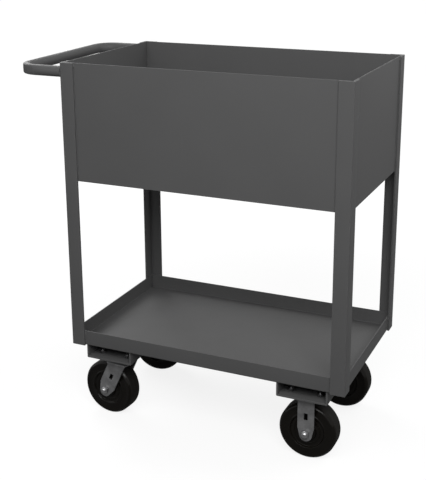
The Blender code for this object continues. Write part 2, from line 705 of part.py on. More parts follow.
def add_swivel_caster(side, sign):
    """Adds a swivel caster under the handle, turned to its resting angle."""
    station = add_station(f"swivel_caster_{side}", (SWIVEL_AXIS_X, sign * CASTER_Y, 0))
    turntable = add_station(f"turntable_{side}", (0, 0, 0), SWIVEL_REST_ANGLES[side], station)
    add_plate(f"swivel_plate_{side}", station, centre_hole=True)
    crown = (SWIVEL_LEG_OFFSET, CROWN_UNDERSIDE)
    crown_reach = SKIRT_INNER_RADIUS + RACE_SKIRT_WALL + CROWN_OVERHANG
    loops = leg_loops((-SWIVEL_LEAD, WHEEL_RADIUS), crown, SWIVEL_LEG_WIDTH, crown_reach)
    back = -SWIVEL_LEAD - SWIVEL_LEG_WIDTH
    fork = add_fork(f"swivel_fork_{side}", turntable, CROWN_TOP, loops, back, crown_reach)
    track = circle(BALL_CIRCLE_RADIUS + BALL_RADIUS, RACE_SIDES)
    race_low = CROWN_TOP - FORK_THICKNESS / 2
    add_boolean(fork, "UNION", flat_solid("track", [track], race_low, CROWN_TOP + RACE_THICKNESS))
    hole = circle(KINGPIN_RADIUS + RUN_GAP, PIN_SIDES, bore=True)
    hole_low = CROWN_UNDERSIDE - CUT_MARGIN
    add_boolean(fork, "DIFFERENCE", flat_solid("pin_hole", [hole], hole_low, PLATE_TOP))
    add_swivel_bearing(side, station, turntable)
    axle = add_station(f"swivel_axle_{side}", (-SWIVEL_LEAD, 0, WHEEL_RADIUS), parent=turntable)
    add_axle_set(f"rear_{side}", axle, sign)


for leftover in list(bpy.data.objects):
    bpy.data.objects.remove(leftover)
CART = make_collection("service_cart")
CUTTERS = make_collection("cutters")
BODY = add_station("cart_body", (BODY_CENTRE_X, 0, 0))

add_posts()
add_box_panels()
add_trays()
add_channel("caster_channel_rear", SWIVEL_AXIS_X)
add_channel("caster_channel_front", RIGID_AXIS_X)
add_handle()
add_caster_bolts()
for caster_side, caster_sign in SIDES.items():
    add_rigid_caster(caster_side, caster_sign)
    add_swivel_caster(caster_side, caster_sign)
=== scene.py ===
"""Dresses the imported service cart: painted steel, plated casters, moulded wheels, welds and studio.

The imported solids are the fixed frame. Each sub-assembly below is a class that works out finer
surfaces for its pieces, lays them over the solids that they stand for and gives them their finish.
Sizes are in metres: X runs from the push handle towards the front, Y to the cart's left and Z up.
"""

from __future__ import annotations

import json
import logging
from dataclasses import dataclass, field, replace
from enum import Enum
from typing import Any, Iterable, Sequence, Union

import bmesh
import bpy
import numpy as np
from mathutils import Matrix, Vector

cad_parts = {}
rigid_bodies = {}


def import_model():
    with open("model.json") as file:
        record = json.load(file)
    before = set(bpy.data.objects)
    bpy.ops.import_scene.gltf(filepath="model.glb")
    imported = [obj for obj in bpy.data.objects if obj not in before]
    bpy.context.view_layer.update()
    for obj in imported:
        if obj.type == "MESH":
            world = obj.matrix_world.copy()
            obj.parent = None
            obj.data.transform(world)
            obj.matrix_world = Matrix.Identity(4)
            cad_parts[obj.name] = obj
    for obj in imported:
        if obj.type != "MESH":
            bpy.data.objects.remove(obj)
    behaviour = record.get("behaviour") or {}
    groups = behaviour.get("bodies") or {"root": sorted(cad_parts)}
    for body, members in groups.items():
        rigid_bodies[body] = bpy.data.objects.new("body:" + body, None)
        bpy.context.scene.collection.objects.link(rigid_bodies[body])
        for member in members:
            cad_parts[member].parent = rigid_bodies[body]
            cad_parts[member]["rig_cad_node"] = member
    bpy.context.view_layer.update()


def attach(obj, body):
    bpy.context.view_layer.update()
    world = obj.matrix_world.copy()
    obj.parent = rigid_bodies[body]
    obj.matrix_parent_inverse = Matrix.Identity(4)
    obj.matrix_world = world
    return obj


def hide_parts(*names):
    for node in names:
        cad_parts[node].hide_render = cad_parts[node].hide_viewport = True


LOG = logging.getLogger("service_cart")
FULL_TURN = 2 * np.pi
WELD_DISTANCE = 1e-6
CRISP_ANGLE = np.radians(35)
BEND_NEIGHBOURS = 17
FLAT_WALL_SOFTNESS = 0.08
WELD_DROP = 0.0024
WELD_SWELL = 0.0093


class Location(Enum):
    """A side or end of the cart: the word that names use for it, and the sign of its coordinate."""

    def __init__(self, label: str, sign: int) -> None:
        """Keeps the word and the sign.

        Args:
            label: The word that the pieces' names use.
            sign: The sign of the coordinate there.
        """
        self.label = label
        self.sign = sign


class Side(Location):
    """A long side of the cart, with the sign of its Y."""

    RIGHT = ("right", -1)
    LEFT = ("left", 1)


class End(Location):
    """An end of the cart, with the sign of its X."""

    FRONT = ("front", 1)
    REAR = ("rear", -1)


@dataclass(frozen=True)
class CartSizes:
    """The sizes that several sub-assemblies share."""

    centre_x: float = 0.0735
    length: float = 0.7620
    width: float = 0.4572
    foot_z: float = 0.2223
    rim_z: float = 0.9843
    box_bottom_z: float = 0.6795
    post_leg: float = 0.0381
    post_wall: float = 0.0048
    fit_gap: float = 0.0003
    sheet: float = 0.0027
    sheet_bend: float = 0.0042
    sheet_edge: float = 0.00055
    tray_lip: float = 0.0415
    swivel_x: float = -0.2021
    rigid_x: float = 0.3422
    caster_y: float = 0.1468
    plate_underside: float = 0.1779
    plate_top: float = 0.1842
    web_top: float = 0.1893
    wheel_radius: float = 0.0762

    @property
    def inner_half_length(self) -> float:
        """Half the length between the inner faces of the posts."""
        return self.length / 2 - self.post_wall - self.fit_gap

    @property
    def inner_half_width(self) -> float:
        """Half the width between the inner faces of the posts."""
        return self.width / 2 - self.post_wall - self.fit_gap

    @property
    def caster_axes(self) -> tuple[tuple[End, float], ...]:
        """Each end of the cart with the X of its casters."""
        return (End.FRONT, self.rigid_x), (End.REAR, self.swivel_x)


SIZES = CartSizes()


# Surfaces


def unit(vectors: np.ndarray) -> np.ndarray:
    """Returns each vector over its own length."""
    return vectors / np.maximum(np.linalg.norm(vectors, axis=-1, keepdims=True), 1e-12)


def grid_faces(rows: int, columns: int, wrap_rows: bool = False, wrap_columns: bool = False) -> np.ndarray:
    """Numbers the quads of a grid whose points are numbered row by row.

    Args:
        rows: How many rows of points there are.
        columns: How many points each row has.
        wrap_rows: Whether the last row joins the first.
        wrap_columns: Whether the last column joins the first.

    Returns:
        One row of four point numbers for each quad.
    """
    down = np.arange(rows if wrap_rows else rows - 1)
    across = np.arange(columns if wrap_columns else columns - 1)
    i, j = np.meshgrid(down, across, indexing="ij")
    below, beside = (i + 1) % rows, (j + 1) % columns
    corners = [i * columns + j, below * columns + j, below * columns + beside, i * columns + beside]
    return np.stack(corners, axis=-1).reshape(-1, 4)


@dataclass
class Shell:
    """The draft of a surface: its points, its faces and named values of its points."""

    points: np.ndarray
    faces: list[np.ndarray]
    values: dict[str, np.ndarray] = field(default_factory=dict)

    @classmethod
    def of_grid(cls, points: np.ndarray, wrap_rows: bool = False, wrap_columns: bool = False) -> Shell:
        """Makes a shell of a grid of points.

        Args:
            points: An array of rows by columns by three.
            wrap_rows: Whether the last row joins the first.
            wrap_columns: Whether the last column joins the first.

        Returns:
            The shell.
        """
        rows, columns = points.shape[:2]
        return cls(points.reshape(-1, 3), [grid_faces(rows, columns, wrap_rows, wrap_columns)])

    @classmethod
    def joined(cls, shells: Iterable[Shell]) -> Shell:
        """Puts several shells into one, with zero where a shell lacks a value.

        Args:
            shells: The shells.

        Returns:
            One shell with the points of all of them.
        """
        parts = list(shells)
        counts = [len(part.points) for part in parts]
        starts = np.concatenate([[0], np.cumsum(counts)[:-1]])
        faces = [face + start for part, start in zip(parts, starts) for face in part.faces]
        names = sorted({name for part in parts for name in part.values})
        values = {
            name: np.concatenate([part.values.get(name, np.zeros(n)) for part, n in zip(parts, counts)])
            for name in names
        }
        return cls(np.vstack([part.points for part in parts]), faces, values)

    def placed(self, matrix: Matrix) -> Shell:
        """Returns the shell moved by a matrix."""
        turn = np.array(matrix)
        return Shell(self.points @ turn[:3, :3].T + turn[:3, 3], self.faces, self.values)


def rounded_path(corners: Sequence[Sequence[float]], closed: bool = True, steps: int = 8) -> np.ndarray:
    """Turns the corners of a flat path into arcs.

    The circle of a corner's radius touches both of its sides. The arc is the first touching point,
    turned about the circle's centre in equal steps, by half a turn less the angle between the sides.

    Args:
        corners: The corners as (x, y, radius), with a radius of 0 where the corner stays.
        closed: Whether the last corner joins the first.
        steps: How many steps each arc takes.

    Returns:
        The points of the path.
    """
    data = np.array(corners, float)
    corner, radius = data[:, :2], data[:, 2]
    back = unit(np.roll(corner, 1, axis=0) - corner)
    ahead = unit(np.roll(corner, -1, axis=0) - corner)
    half = np.arccos(np.clip((back * ahead).sum(axis=1), -1, 1)) / 2
    centre = corner + unit(back + ahead) * (radius / np.sin(half))[:, None]
    start = corner + back * (radius / np.tan(half))[:, None] - centre
    cross = back[:, 0] * ahead[:, 1] - back[:, 1] * ahead[:, 0]
    sweep = np.where(cross < 0, 1, -1) * (np.pi - 2 * half)
    angle = sweep[:, None] * np.linspace(0, 1, steps + 1)
    turned = np.stack(
        [
            start[:, :1] * np.cos(angle) - start[:, 1:] * np.sin(angle),
            start[:, :1] * np.sin(angle) + start[:, 1:] * np.cos(angle),
        ],
        axis=-1,
    )
    arcs = centre[:, None, :] + turned
    if not closed:
        arcs[0], arcs[-1] = corner[0], corner[-1]
    points = arcs.reshape(-1, 2)
    moved = np.linalg.norm(points - np.roll(points, 1, axis=0), axis=1) > WELD_DISTANCE
    moved[0] = moved[0] or not closed
    return points[moved]


def refined(path: np.ndarray, step: float) -> np.ndarray:
    """Adds points to the long stretches of an open path, so that none is longer than a step.

    Args:
        path: The points of the path.
        step: The longest stretch that stays whole.

    Returns:
        The points, read from the path at even distances within each stretch.
    """
    lengths = np.linalg.norm(np.diff(path, axis=0), axis=1)
    pieces = np.maximum(np.ceil(lengths / step).astype(int), 1)
    spots = np.repeat(np.arange(len(pieces)), pieces)
    offsets = np.arange(len(spots)) - np.repeat(np.cumsum(pieces) - pieces, pieces)
    share = offsets / np.repeat(pieces, pieces)
    return np.vstack([path[spots] + share[:, None] * (path[spots + 1] - path[spots]), path[-1:]])


def closed_stack(loops: np.ndarray) -> Shell:
    """Joins a stack of loops and closes the first and the last of them with a face each.

    Args:
        loops: An array of loops by points by three.

    Returns:
        A closed shell.
    """
    count = loops.shape[1]
    shell = Shell.of_grid(loops, wrap_columns=True)
    shell.faces += [np.arange(count)[None, ::-1], np.arange(count)[None] + len(shell.points) - count]
    return shell


def prism(outline: np.ndarray, low: float, high: float, axes: Sequence[Sequence[float]]) -> Shell:
    """Carries a flat outline along a straight line and closes both ends.

    A point is u times the first axis, v times the second and w times the third, where (u, v) runs
    along the outline and w is low or high.

    Args:
        outline: The points of the outline.
        low: Where the prism starts on its third axis.
        high: Where it ends.
        axes: The three axes.

    Returns:
        A closed shell.
    """
    ends = [np.column_stack([outline, np.full(len(outline), height)]) for height in (low, high)]
    return closed_stack(np.stack(ends) @ np.array(axes, float))


ALONG_Z = ((1, 0, 0), (0, 1, 0), (0, 0, 1))
ALONG_Y = ((1, 0, 0), (0, 0, 1), (0, 1, 0))


def block(low: Sequence[float], high: Sequence[float], cells: Sequence[int]) -> Shell:
    """Builds a box whose six sides are grids that share their outer points.

    On each side one coordinate is the box's lower or upper value and the other two run evenly
    between theirs.

    Args:
        low: The lowest corner.
        high: The highest corner.
        cells: How many cells the box has along each axis.

    Returns:
        A closed shell.
    """
    ticks = [np.linspace(a, b, n + 1) for a, b, n in zip(low, high, cells)]
    sides = []
    for axis in range(3):
        first, second = [other for other in range(3) if other != axis]
        u, v = np.meshgrid(ticks[first], ticks[second], indexing="ij")
        for value in (low[axis], high[axis]):
            side = np.empty((*u.shape, 3))
            side[..., first], side[..., second], side[..., axis] = u, v, value
            sides.append(Shell.of_grid(side))
    return Shell.joined(sides)


def turned(profile: np.ndarray, sides: int, ring: bool = True) -> Shell:
    """Turns a profile about the Z axis.

    At angle a the profile's point (r, z) lies at (r cos a, r sin a, z). Each point keeps its radius
    as the value "reach".

    Args:
        profile: The points (r, z) of the profile.
        sides: How many times the profile is repeated around the axis.
        ring: Whether the profile's last point joins its first.

    Returns:
        A shell.
    """
    angle = np.arange(sides)[:, None] * FULL_TURN / sides
    radius, height = profile[:, 0], profile[:, 1]
    around = [radius * np.cos(angle), radius * np.sin(angle), height + 0 * angle]
    shell = Shell.of_grid(np.stack(around, axis=-1), wrap_rows=True, wrap_columns=ring)
    shell.values = {"reach": np.tile(radius, sides)}
    return shell


def tube(path: np.ndarray, height: float, radius: float, sides: int, flattened: float) -> Shell:
    """Carries a circle along a path at one height, and closes both ends.

    The circle stands across the path: its point at angle a lies off the path by r cos a along the
    path's level normal and by r sin a upwards. In a bend the wall outside is pressed flat, as it is
    when a tube is bent: there the offset runs smoothly into the radius less the flattened depth. The
    flattening grows and fades with the turn of the path, averaged over its neighbouring points.

    Args:
        path: The points (x, y) of the path, which turns to the right.
        height: The Z of the path.
        radius: The radius of the tube.
        sides: How many points the circle has.
        flattened: How deep the outer wall is pressed in at the middle of a bend.

    Returns:
        A closed shell.
    """
    tangent = unit(np.gradient(path, axis=0))
    normal = np.column_stack([-tangent[:, 1], tangent[:, 0]])
    turn = np.linalg.norm(np.gradient(tangent, axis=0), axis=1)
    window = np.hanning(BEND_NEIGHBOURS)
    press = np.convolve(turn / turn.max(), window / window.sum(), mode="same")[:, None]
    angle = np.arange(sides) * FULL_TURN / sides
    sideways = radius * np.cos(angle)
    soft = radius * FLAT_WALL_SOFTNESS
    flat_wall = -soft * np.log(np.exp(-sideways / soft) + np.exp(-(radius - flattened) / soft))
    outwards = (1 - press) * sideways + press * flat_wall
    rise = radius * np.sin(angle) + 0 * press
    flat = path[:, None, :] + outwards[..., None] * normal[:, None, :]
    return closed_stack(np.concatenate([flat, height + rise[..., None]], axis=-1))


def ring_patch(inner: np.ndarray, outer: np.ndarray, rows: int) -> np.ndarray:
    """Fills the band between two loops: at share t a point is (1 - t) inner + t outer.

    Args:
        inner: The points of the inner loop.
        outer: As many points of the outer loop.
        rows: How many bands of cells lie between the loops.

    Returns:
        A grid of flat points.
    """
    share = np.linspace(0, 1, rows + 1)[:, None, None]
    return (1 - share) * inner + share * outer


def weld_bead(
    corner: np.ndarray, first: np.ndarray, second: np.ndarray, leg: float, ring: bool = False
) -> Shell:
    """Lays a bead of weld into the corner between two faces.

    Across the bead its skin is a quarter circle from one face to the other: the corner plus r times
    (cos a first + sin a second). Along the bead r is the leg, times a ripple for each drop of metal
    with a slower swell and, unless the bead is a ring, times a term that falls to nothing at both ends.

    Args:
        corner: The points of the corner line.
        first: The direction along the one face, for each point or for all.
        second: The direction along the other face.
        leg: The size of the bead on each face.
        ring: Whether the bead closes on itself.

    Returns:
        A closed shell.
    """
    run = np.concatenate([[0], np.cumsum(np.linalg.norm(np.diff(corner, axis=0), axis=1))])
    ripple = 1 + 0.09 * np.cos(FULL_TURN * run / WELD_DROP) + 0.05 * np.sin(FULL_TURN * run / WELD_SWELL)
    along = np.linspace(-1, 1, len(corner))
    ends = 1 if ring else np.sqrt(np.maximum(1 - along**6, 0))
    size = leg * ripple * ends
    angle = np.linspace(0, np.pi / 2, 9)
    first, second = (np.broadcast_to(side, corner.shape)[:, None, :] for side in (first, second))
    skin = np.cos(angle)[:, None] * first + np.sin(angle)[:, None] * second
    inside = -0.1 * (first + second)
    fan = np.concatenate([skin, inside], axis=1)
    return Shell.of_grid(corner[:, None, :] + size[:, None, None] * fan, wrap_rows=ring, wrap_columns=True)


def straight_bead(
    middle: Sequence[float],
    axis: int,
    length: float,
    points: int,
    first: Sequence[float],
    second: Sequence[float],
    leg: float,
) -> Shell:
    """Lays a straight bead of weld.

    Args:
        middle: The middle of the corner line.
        axis: The axis that the line runs along.
        length: The length of the bead.
        points: How many points the line has.
        first: The direction along the one face.
        second: The direction along the other face.
        leg: The size of the bead on each face.

    Returns:
        A closed shell.
    """
    line = np.tile(np.array(middle, float), (points, 1))
    line[:, axis] += np.linspace(-0.5, 0.5, points) * length
    return weld_bead(line, np.array(first, float), np.array(second, float), leg)


def hexagon_body(flats: float, height: float, bevel_below: bool) -> Shell:
    """Builds a nut's or bolt head's body, with its corners turned down.

    At angle a the flats lie at the radius R = flats / 2 / cos(b), where b is the angle from the
    middle of the nearest flat. A cone of 30 degrees that starts at the round face of an end, of
    radius F, trims that end: the sides stop short of it by (R - F) times the cone's slope.

    Args:
        flats: The width across the flats.
        height: The height of the body.
        bevel_below: Whether the lower end is trimmed too.

    Returns:
        A closed shell that stands on Z 0.
    """
    sides, face_share, slope = 96, 0.96, np.tan(np.radians(30))
    angle = np.arange(sides) * FULL_TURN / sides
    off_flat = (angle + np.pi / 6) % (np.pi / 3) - np.pi / 6
    reach = flats / 2 / np.cos(off_flat)
    face = np.full_like(angle, face_share * flats / 2)
    drop = (reach - face) * slope
    none = np.zeros_like(angle)
    low = drop if bevel_below else none
    rows = [
        (none, none),
        (face, none),
        (reach, low),
        (reach, height - drop),
        (face, none + height),
        (none, none + height),
    ]
    grid = [np.column_stack([r * np.cos(angle), r * np.sin(angle), z]) for r, z in rows]
    return Shell.of_grid(np.stack(grid), wrap_columns=True)


def threaded_end(radius: float, low: float, high: float, pitch: float) -> Shell:
    """Builds the end of a bolt with its thread.

    At angle a and height z the radius falls by the thread's depth times the distance of
    z / pitch - a / turn from the nearest whole number, and the last row is turned down.

    Args:
        radius: The radius over the thread.
        low: Where the end starts.
        high: Where it ends.
        pitch: The rise of the thread in one turn.

    Returns:
        A closed shell.
    """
    sides, rows_per_pitch = 36, 6
    height = np.linspace(low, high, max(int((high - low) / pitch * rows_per_pitch), 4))[:, None]
    angle = np.arange(sides) * FULL_TURN / sides
    phase = height / pitch - angle / FULL_TURN
    depth = 0.55 * pitch * 2 * np.abs(phase - np.round(phase))
    reach = np.minimum(radius - depth, radius - 1.2 * pitch * np.clip((height - high) / pitch + 0.6, 0, 1))
    wall = np.stack([reach * np.cos(angle), reach * np.sin(angle), height + 0 * angle], axis=-1)
    poles = [np.tile([0.0, 0.0, end], (1, len(angle), 1)) for end in (low, high)]
    return Shell.of_grid(np.concatenate([poles[0], wall, poles[1]]), wrap_columns=True)


# Finishes


class Signal:
    """A socket's value in shader arithmetic: each operator adds the Math node that works it out."""

    def __init__(self, tree: SignalTree, socket: bpy.types.NodeSocket) -> None:
        """Wraps a socket.

        Args:
            tree: The tree that the socket belongs to.
            socket: The socket.
        """
        self.tree = tree
        self.socket = socket

    def __add__(self, other: Term) -> Signal:
        """Returns the sum."""
        return self.tree.math("ADD", self, other)

    def __radd__(self, other: Term) -> Signal:
        """Returns the sum, with this value second."""
        return self.tree.math("ADD", other, self)

    def __sub__(self, other: Term) -> Signal:
        """Returns the difference."""
        return self.tree.math("SUBTRACT", self, other)

    def __rsub__(self, other: Term) -> Signal:
        """Returns the other value less this one."""
        return self.tree.math("SUBTRACT", other, self)

    def __mul__(self, other: Term) -> Signal:
        """Returns the product."""
        return self.tree.math("MULTIPLY", self, other)

    def step(self, low: float, high: float) -> Signal:
        """Returns 0 below low and 1 above high, with a smooth rise between them."""
        inputs = {"Value": self, "From Min": low, "From Max": high}
        return self.tree.node("ShaderNodeMapRange", {"interpolation_type": "SMOOTHSTEP"}, inputs, "Result")

    def sine(self) -> Signal:
        """Returns the sine of the value."""
        return self.tree.math("SINE", self)


Term = Union[Signal, float]
Colour = tuple[float, float, float]


class SignalTree:
    """A node tree whose signals are worked out from one another."""

    def __init__(self, tree: bpy.types.NodeTree) -> None:
        """Keeps the tree's nodes and links.

        Args:
            tree: The node tree.
        """
        self.nodes = tree.nodes
        self.links = tree.links

    def node(self, kind: str, settings: dict[str, Any], inputs: dict[Any, Any], output: Any = 0) -> Signal:
        """Adds a node.

        Args:
            kind: The node's type.
            settings: Its settings, which are made first.
            inputs: The values or signals of its sockets.
            output: The socket that gives the result.

        Returns:
            The result.
        """
        made = self.nodes.new(kind)
        for name, value in settings.items():
            setattr(made, name, value)
        for name, value in inputs.items():
            self.feed(made.inputs[name], value)
        return Signal(self, made.outputs[output])

    def feed(self, socket: bpy.types.NodeSocket, value: Any) -> None:
        """Links a signal to a socket, or writes a plain value on it.

        Args:
            socket: The socket.
            value: The signal or the plain value.
        """
        if isinstance(value, Signal):
            self.links.new(value.socket, socket)
        else:
            socket.default_value = value

    def math(self, operation: str, *terms: Term) -> Signal:
        """Adds a Math node for some terms."""
        return self.node("ShaderNodeMath", {"operation": operation}, dict(enumerate(terms)))

    def rays(self, *kinds: str) -> list[Signal]:
        """Returns for each kind of ray a signal that is 1 for such a ray and 0 for any other."""
        path = self.nodes.new("ShaderNodeLightPath")
        return [Signal(self, path.outputs[f"Is {kind} Ray"]) for kind in kinds]


class FinishTree(SignalTree):
    """The node tree of one material."""

    def __init__(self, name: str) -> None:
        """Makes a material with a plain shader.

        Args:
            name: The material's name.
        """
        self.material = bpy.data.materials.new(name)
        self.material.use_nodes = True
        super().__init__(self.material.node_tree)
        self.shader = self.nodes["Principled BSDF"]

    def place(self) -> Signal:
        """Returns the place on the object."""
        return self.node("ShaderNodeTexCoord", {}, {}, "Object")

    def stretched(self, scale: Sequence[float], turn: Sequence[float] = (0, 0, 0)) -> Signal:
        """Returns the place on the object, scaled along each axis and turned."""
        inputs = {"Vector": self.place(), "Scale": tuple(scale), "Rotation": tuple(turn)}
        return self.node("ShaderNodeMapping", {}, inputs, "Vector")

    def noise(self, scale: float, detail: float = 2.0, place: Signal | None = None) -> Signal:
        """Returns noise from 0 to 1 around one half, of a scale in waves for each metre."""
        inputs = {"Vector": place or self.place(), "Scale": scale, "Detail": detail}
        return self.node("ShaderNodeTexNoise", {}, inputs, "Fac")

    def value(self, name: str) -> Signal:
        """Returns a named value of the points."""
        return self.node("ShaderNodeAttribute", {"attribute_name": name}, {}, "Fac")

    def mix(self, share: Term, first: Any, second: Any) -> Signal:
        """Blends two colours.

        Args:
            share: How much of the second colour there is.
            first: The first colour, as a signal or three numbers.
            second: The second colour.

        Returns:
            The blended colour.
        """
        ends = [end if isinstance(end, Signal) else (*end, 1.0) for end in (first, second)]
        inputs = {0: share, 6: ends[0], 7: ends[1]}
        return self.node("ShaderNodeMix", {"data_type": "RGBA", "clamp_factor": True}, inputs, 2)

    def relief(self, height: Term, depth: float, strength: float = 1.0) -> Signal:
        """Returns the normal of a surface whose height varies.

        Args:
            height: The height, from 0 to 1.
            depth: How far 1 stands above 0.
            strength: How much of the relief shows.

        Returns:
            The normal.
        """
        inputs = {"Height": height, "Distance": depth, "Strength": strength}
        return self.node("ShaderNodeBump", {}, inputs, "Normal")

    def show(self, colour: Signal, roughness: Signal, normal: Signal) -> None:
        """Feeds the shader its colour, roughness and normal."""
        for name, signal in (("Base Color", colour), ("Roughness", roughness), ("Normal", normal)):
            self.feed(self.shader.inputs[name], signal)


def scaled(colour: Colour, share: float) -> Colour:
    """Returns a colour made lighter or darker."""
    return tuple(channel * share for channel in colour)


@dataclass(frozen=True)
class Finish:
    """What every finish has: a name, a colour and how it reflects."""

    name: str
    colour: Colour
    roughness: float
    metallic: float = 0.0
    specular: float = 0.5

    def dress(self, tree: FinishTree) -> None:
        """Adds what changes over the surface.

        Args:
            tree: The tree of the finish's material.
        """
        raise NotImplementedError

    def material(self) -> bpy.types.Material:
        """Makes the material of the finish.

        Returns:
            The material.
        """
        tree = FinishTree(self.name)
        sockets = tree.shader.inputs
        sockets["Base Color"].default_value = (*self.colour, 1.0)
        sockets["Roughness"].default_value = self.roughness
        sockets["Metallic"].default_value = self.metallic
        sockets["Specular IOR Level"].default_value = self.specular
        tree.material.diffuse_color = (*self.colour, 1.0)
        self.dress(tree)
        return tree.material


@dataclass(frozen=True)
class PowderCoat(Finish):
    """Baked grey paint: a faint orange peel, soft clouds, rubbed streaks and dust where it lies flat."""

    cloud: float = 0.06
    streaks: float = 0.10
    dust: float = 0.05
    chips: float = 0.0
    dust_colour: Colour = (0.17, 0.165, 0.155)
    chip_colour: Colour = (0.22, 0.22, 0.225)

    def dress(self, tree: FinishTree) -> None:
        """Adds clouds, grain, streaks, dust and the orange peel.

        Args:
            tree: The tree of the finish's material.
        """
        clouds = tree.noise(5.5, 4.0)
        grain = tree.noise(520.0, 2.0)
        tone = clouds + (grain - 0.5) * 0.5
        paint = tree.mix(tone, scaled(self.colour, 1 - self.cloud), scaled(self.colour, 1 + self.cloud))
        rubbed = tree.noise(1.0, 3.0, tree.stretched((7, 7, 150), (0.12, 0.05, 0)))
        crossed = tree.noise(1.0, 3.0, tree.stretched((130, 150, 6), (0, 0.1, 0.4)))
        streak = (rubbed.step(0.64, 0.74) + crossed.step(0.66, 0.76)) * tree.noise(9.0).step(0.45, 0.7)
        paint = tree.mix(streak * self.streaks, paint, scaled(self.colour, 1.55))
        normal = tree.node("ShaderNodeNewGeometry", {}, {}, "Normal")
        facing = tree.node("ShaderNodeSeparateXYZ", {}, {0: normal}, 2)
        dusty = facing.step(0.7, 0.95) * tree.noise(14.0, 5.0).step(0.35, 0.75)
        paint = tree.mix(dusty * self.dust, paint, self.dust_colour)
        if self.chips:
            chip = tree.noise(260.0, 3.0).step(0.62, 0.68) * tree.noise(22.0).step(0.5, 0.62)
            paint = tree.mix(chip * self.chips, paint, self.chip_colour)
        rough = self.roughness + (clouds - 0.5) * 0.14 + (grain - 0.5) * 0.08 - streak * 0.10 + dusty * 0.08
        peel = tree.noise(620.0, 1.0) * 0.7 + tree.noise(1500.0, 1.0) * 0.3
        tree.show(paint, rough, tree.relief(peel, 0.00022, 0.55))


@dataclass(frozen=True)
class ZincPlate(Finish):
    """Dull zinc plating on pressed steel: crystals, clouds, draw lines and grey bloom."""

    bloom: float = 0.35

    def dress(self, tree: FinishTree) -> None:
        """Adds crystals, clouds, draw lines and bloom.

        Args:
            tree: The tree of the finish's material.
        """
        cell = tree.node("ShaderNodeTexVoronoi", {}, {"Vector": tree.place(), "Scale": 330.0}, "Color")
        crystal = tree.node("ShaderNodeSeparateColor", {}, {0: cell}, 0)
        clouds = tree.noise(42.0, 4.0)
        drawn = tree.noise(1.0, 2.0, tree.stretched((60, 60, 900)))
        tone = 0.5 + (crystal - 0.5) * 0.28 + (clouds - 0.5) * 2.2 + (drawn - 0.5) * 0.4
        metal = tree.mix(tone, scaled(self.colour, 0.76), scaled(self.colour, 1.24))
        bloom = tree.noise(48.0, 5.0).step(0.50, 0.72)
        metal = tree.mix(bloom * self.bloom, metal, scaled(self.colour, 1.30))
        rough = self.roughness + (clouds - 0.5) * 0.22 + bloom * 0.12 + (crystal - 0.5) * 0.06
        skin = drawn * 0.6 + tree.noise(800.0) * 0.4
        tree.show(metal, rough, tree.relief(skin, 0.00012, 0.5))


@dataclass(frozen=True)
class BrightSteel(Finish):
    """Machined and bright plated steel, with tool lines and a few dull spots."""

    def dress(self, tree: FinishTree) -> None:
        """Adds tool lines and dull spots.

        Args:
            tree: The tree of the finish's material.
        """
        spots = tree.noise(210.0, 4.0)
        lines = tree.noise(1.0, 1.0, tree.stretched((900, 900, 2600)))
        tone = 0.5 + (spots - 0.5) * 1.3 + (lines - 0.5) * 0.3
        metal = tree.mix(tone, scaled(self.colour, 0.72), scaled(self.colour, 1.16))
        rough = self.roughness + (spots - 0.5) * 0.25
        tree.show(metal, rough, tree.relief(lines, 0.00008, 0.4))


@dataclass(frozen=True)
class WheelResin(Finish):
    """Black moulded resin: fine mould rings on the sides, a rubbed and dusty tread."""

    tread_reach: float = 0.0735
    tread_blend: float = 0.0022
    ring_pitch: float = 0.00135
    scuffed: Colour = (0.0074, 0.0068, 0.0060)

    def dress(self, tree: FinishTree) -> None:
        """Adds mould rings, flecks and the tread's wear.

        Args:
            tree: The tree of the finish's material.
        """
        reach = tree.value("reach")
        tread = reach.step(self.tread_reach, self.tread_reach + self.tread_blend)
        clouds = tree.noise(34.0, 5.0)
        flecks = tree.noise(900.0, 2.0).step(0.62, 0.72)
        resin = tree.mix(clouds, scaled(self.colour, 0.75), scaled(self.colour, 1.3))
        resin = tree.mix(flecks * 0.25, resin, scaled(self.colour, 2.6))
        worn = tread * tree.noise(120.0, 5.0).step(0.30, 0.70)
        resin = tree.mix(worn * 0.75, resin, self.scuffed)
        rough = self.roughness + tread * 0.55 + (clouds - 0.5) * 0.08
        rings = (reach * (FULL_TURN / self.ring_pitch)).sine() * 0.5 + 0.5
        side = rings * (1 - tread) * 0.45 + tree.noise(700.0) * (0.15 + tread * 0.85)
        tree.show(resin, rough, tree.relief(side, 0.00014, 0.5))


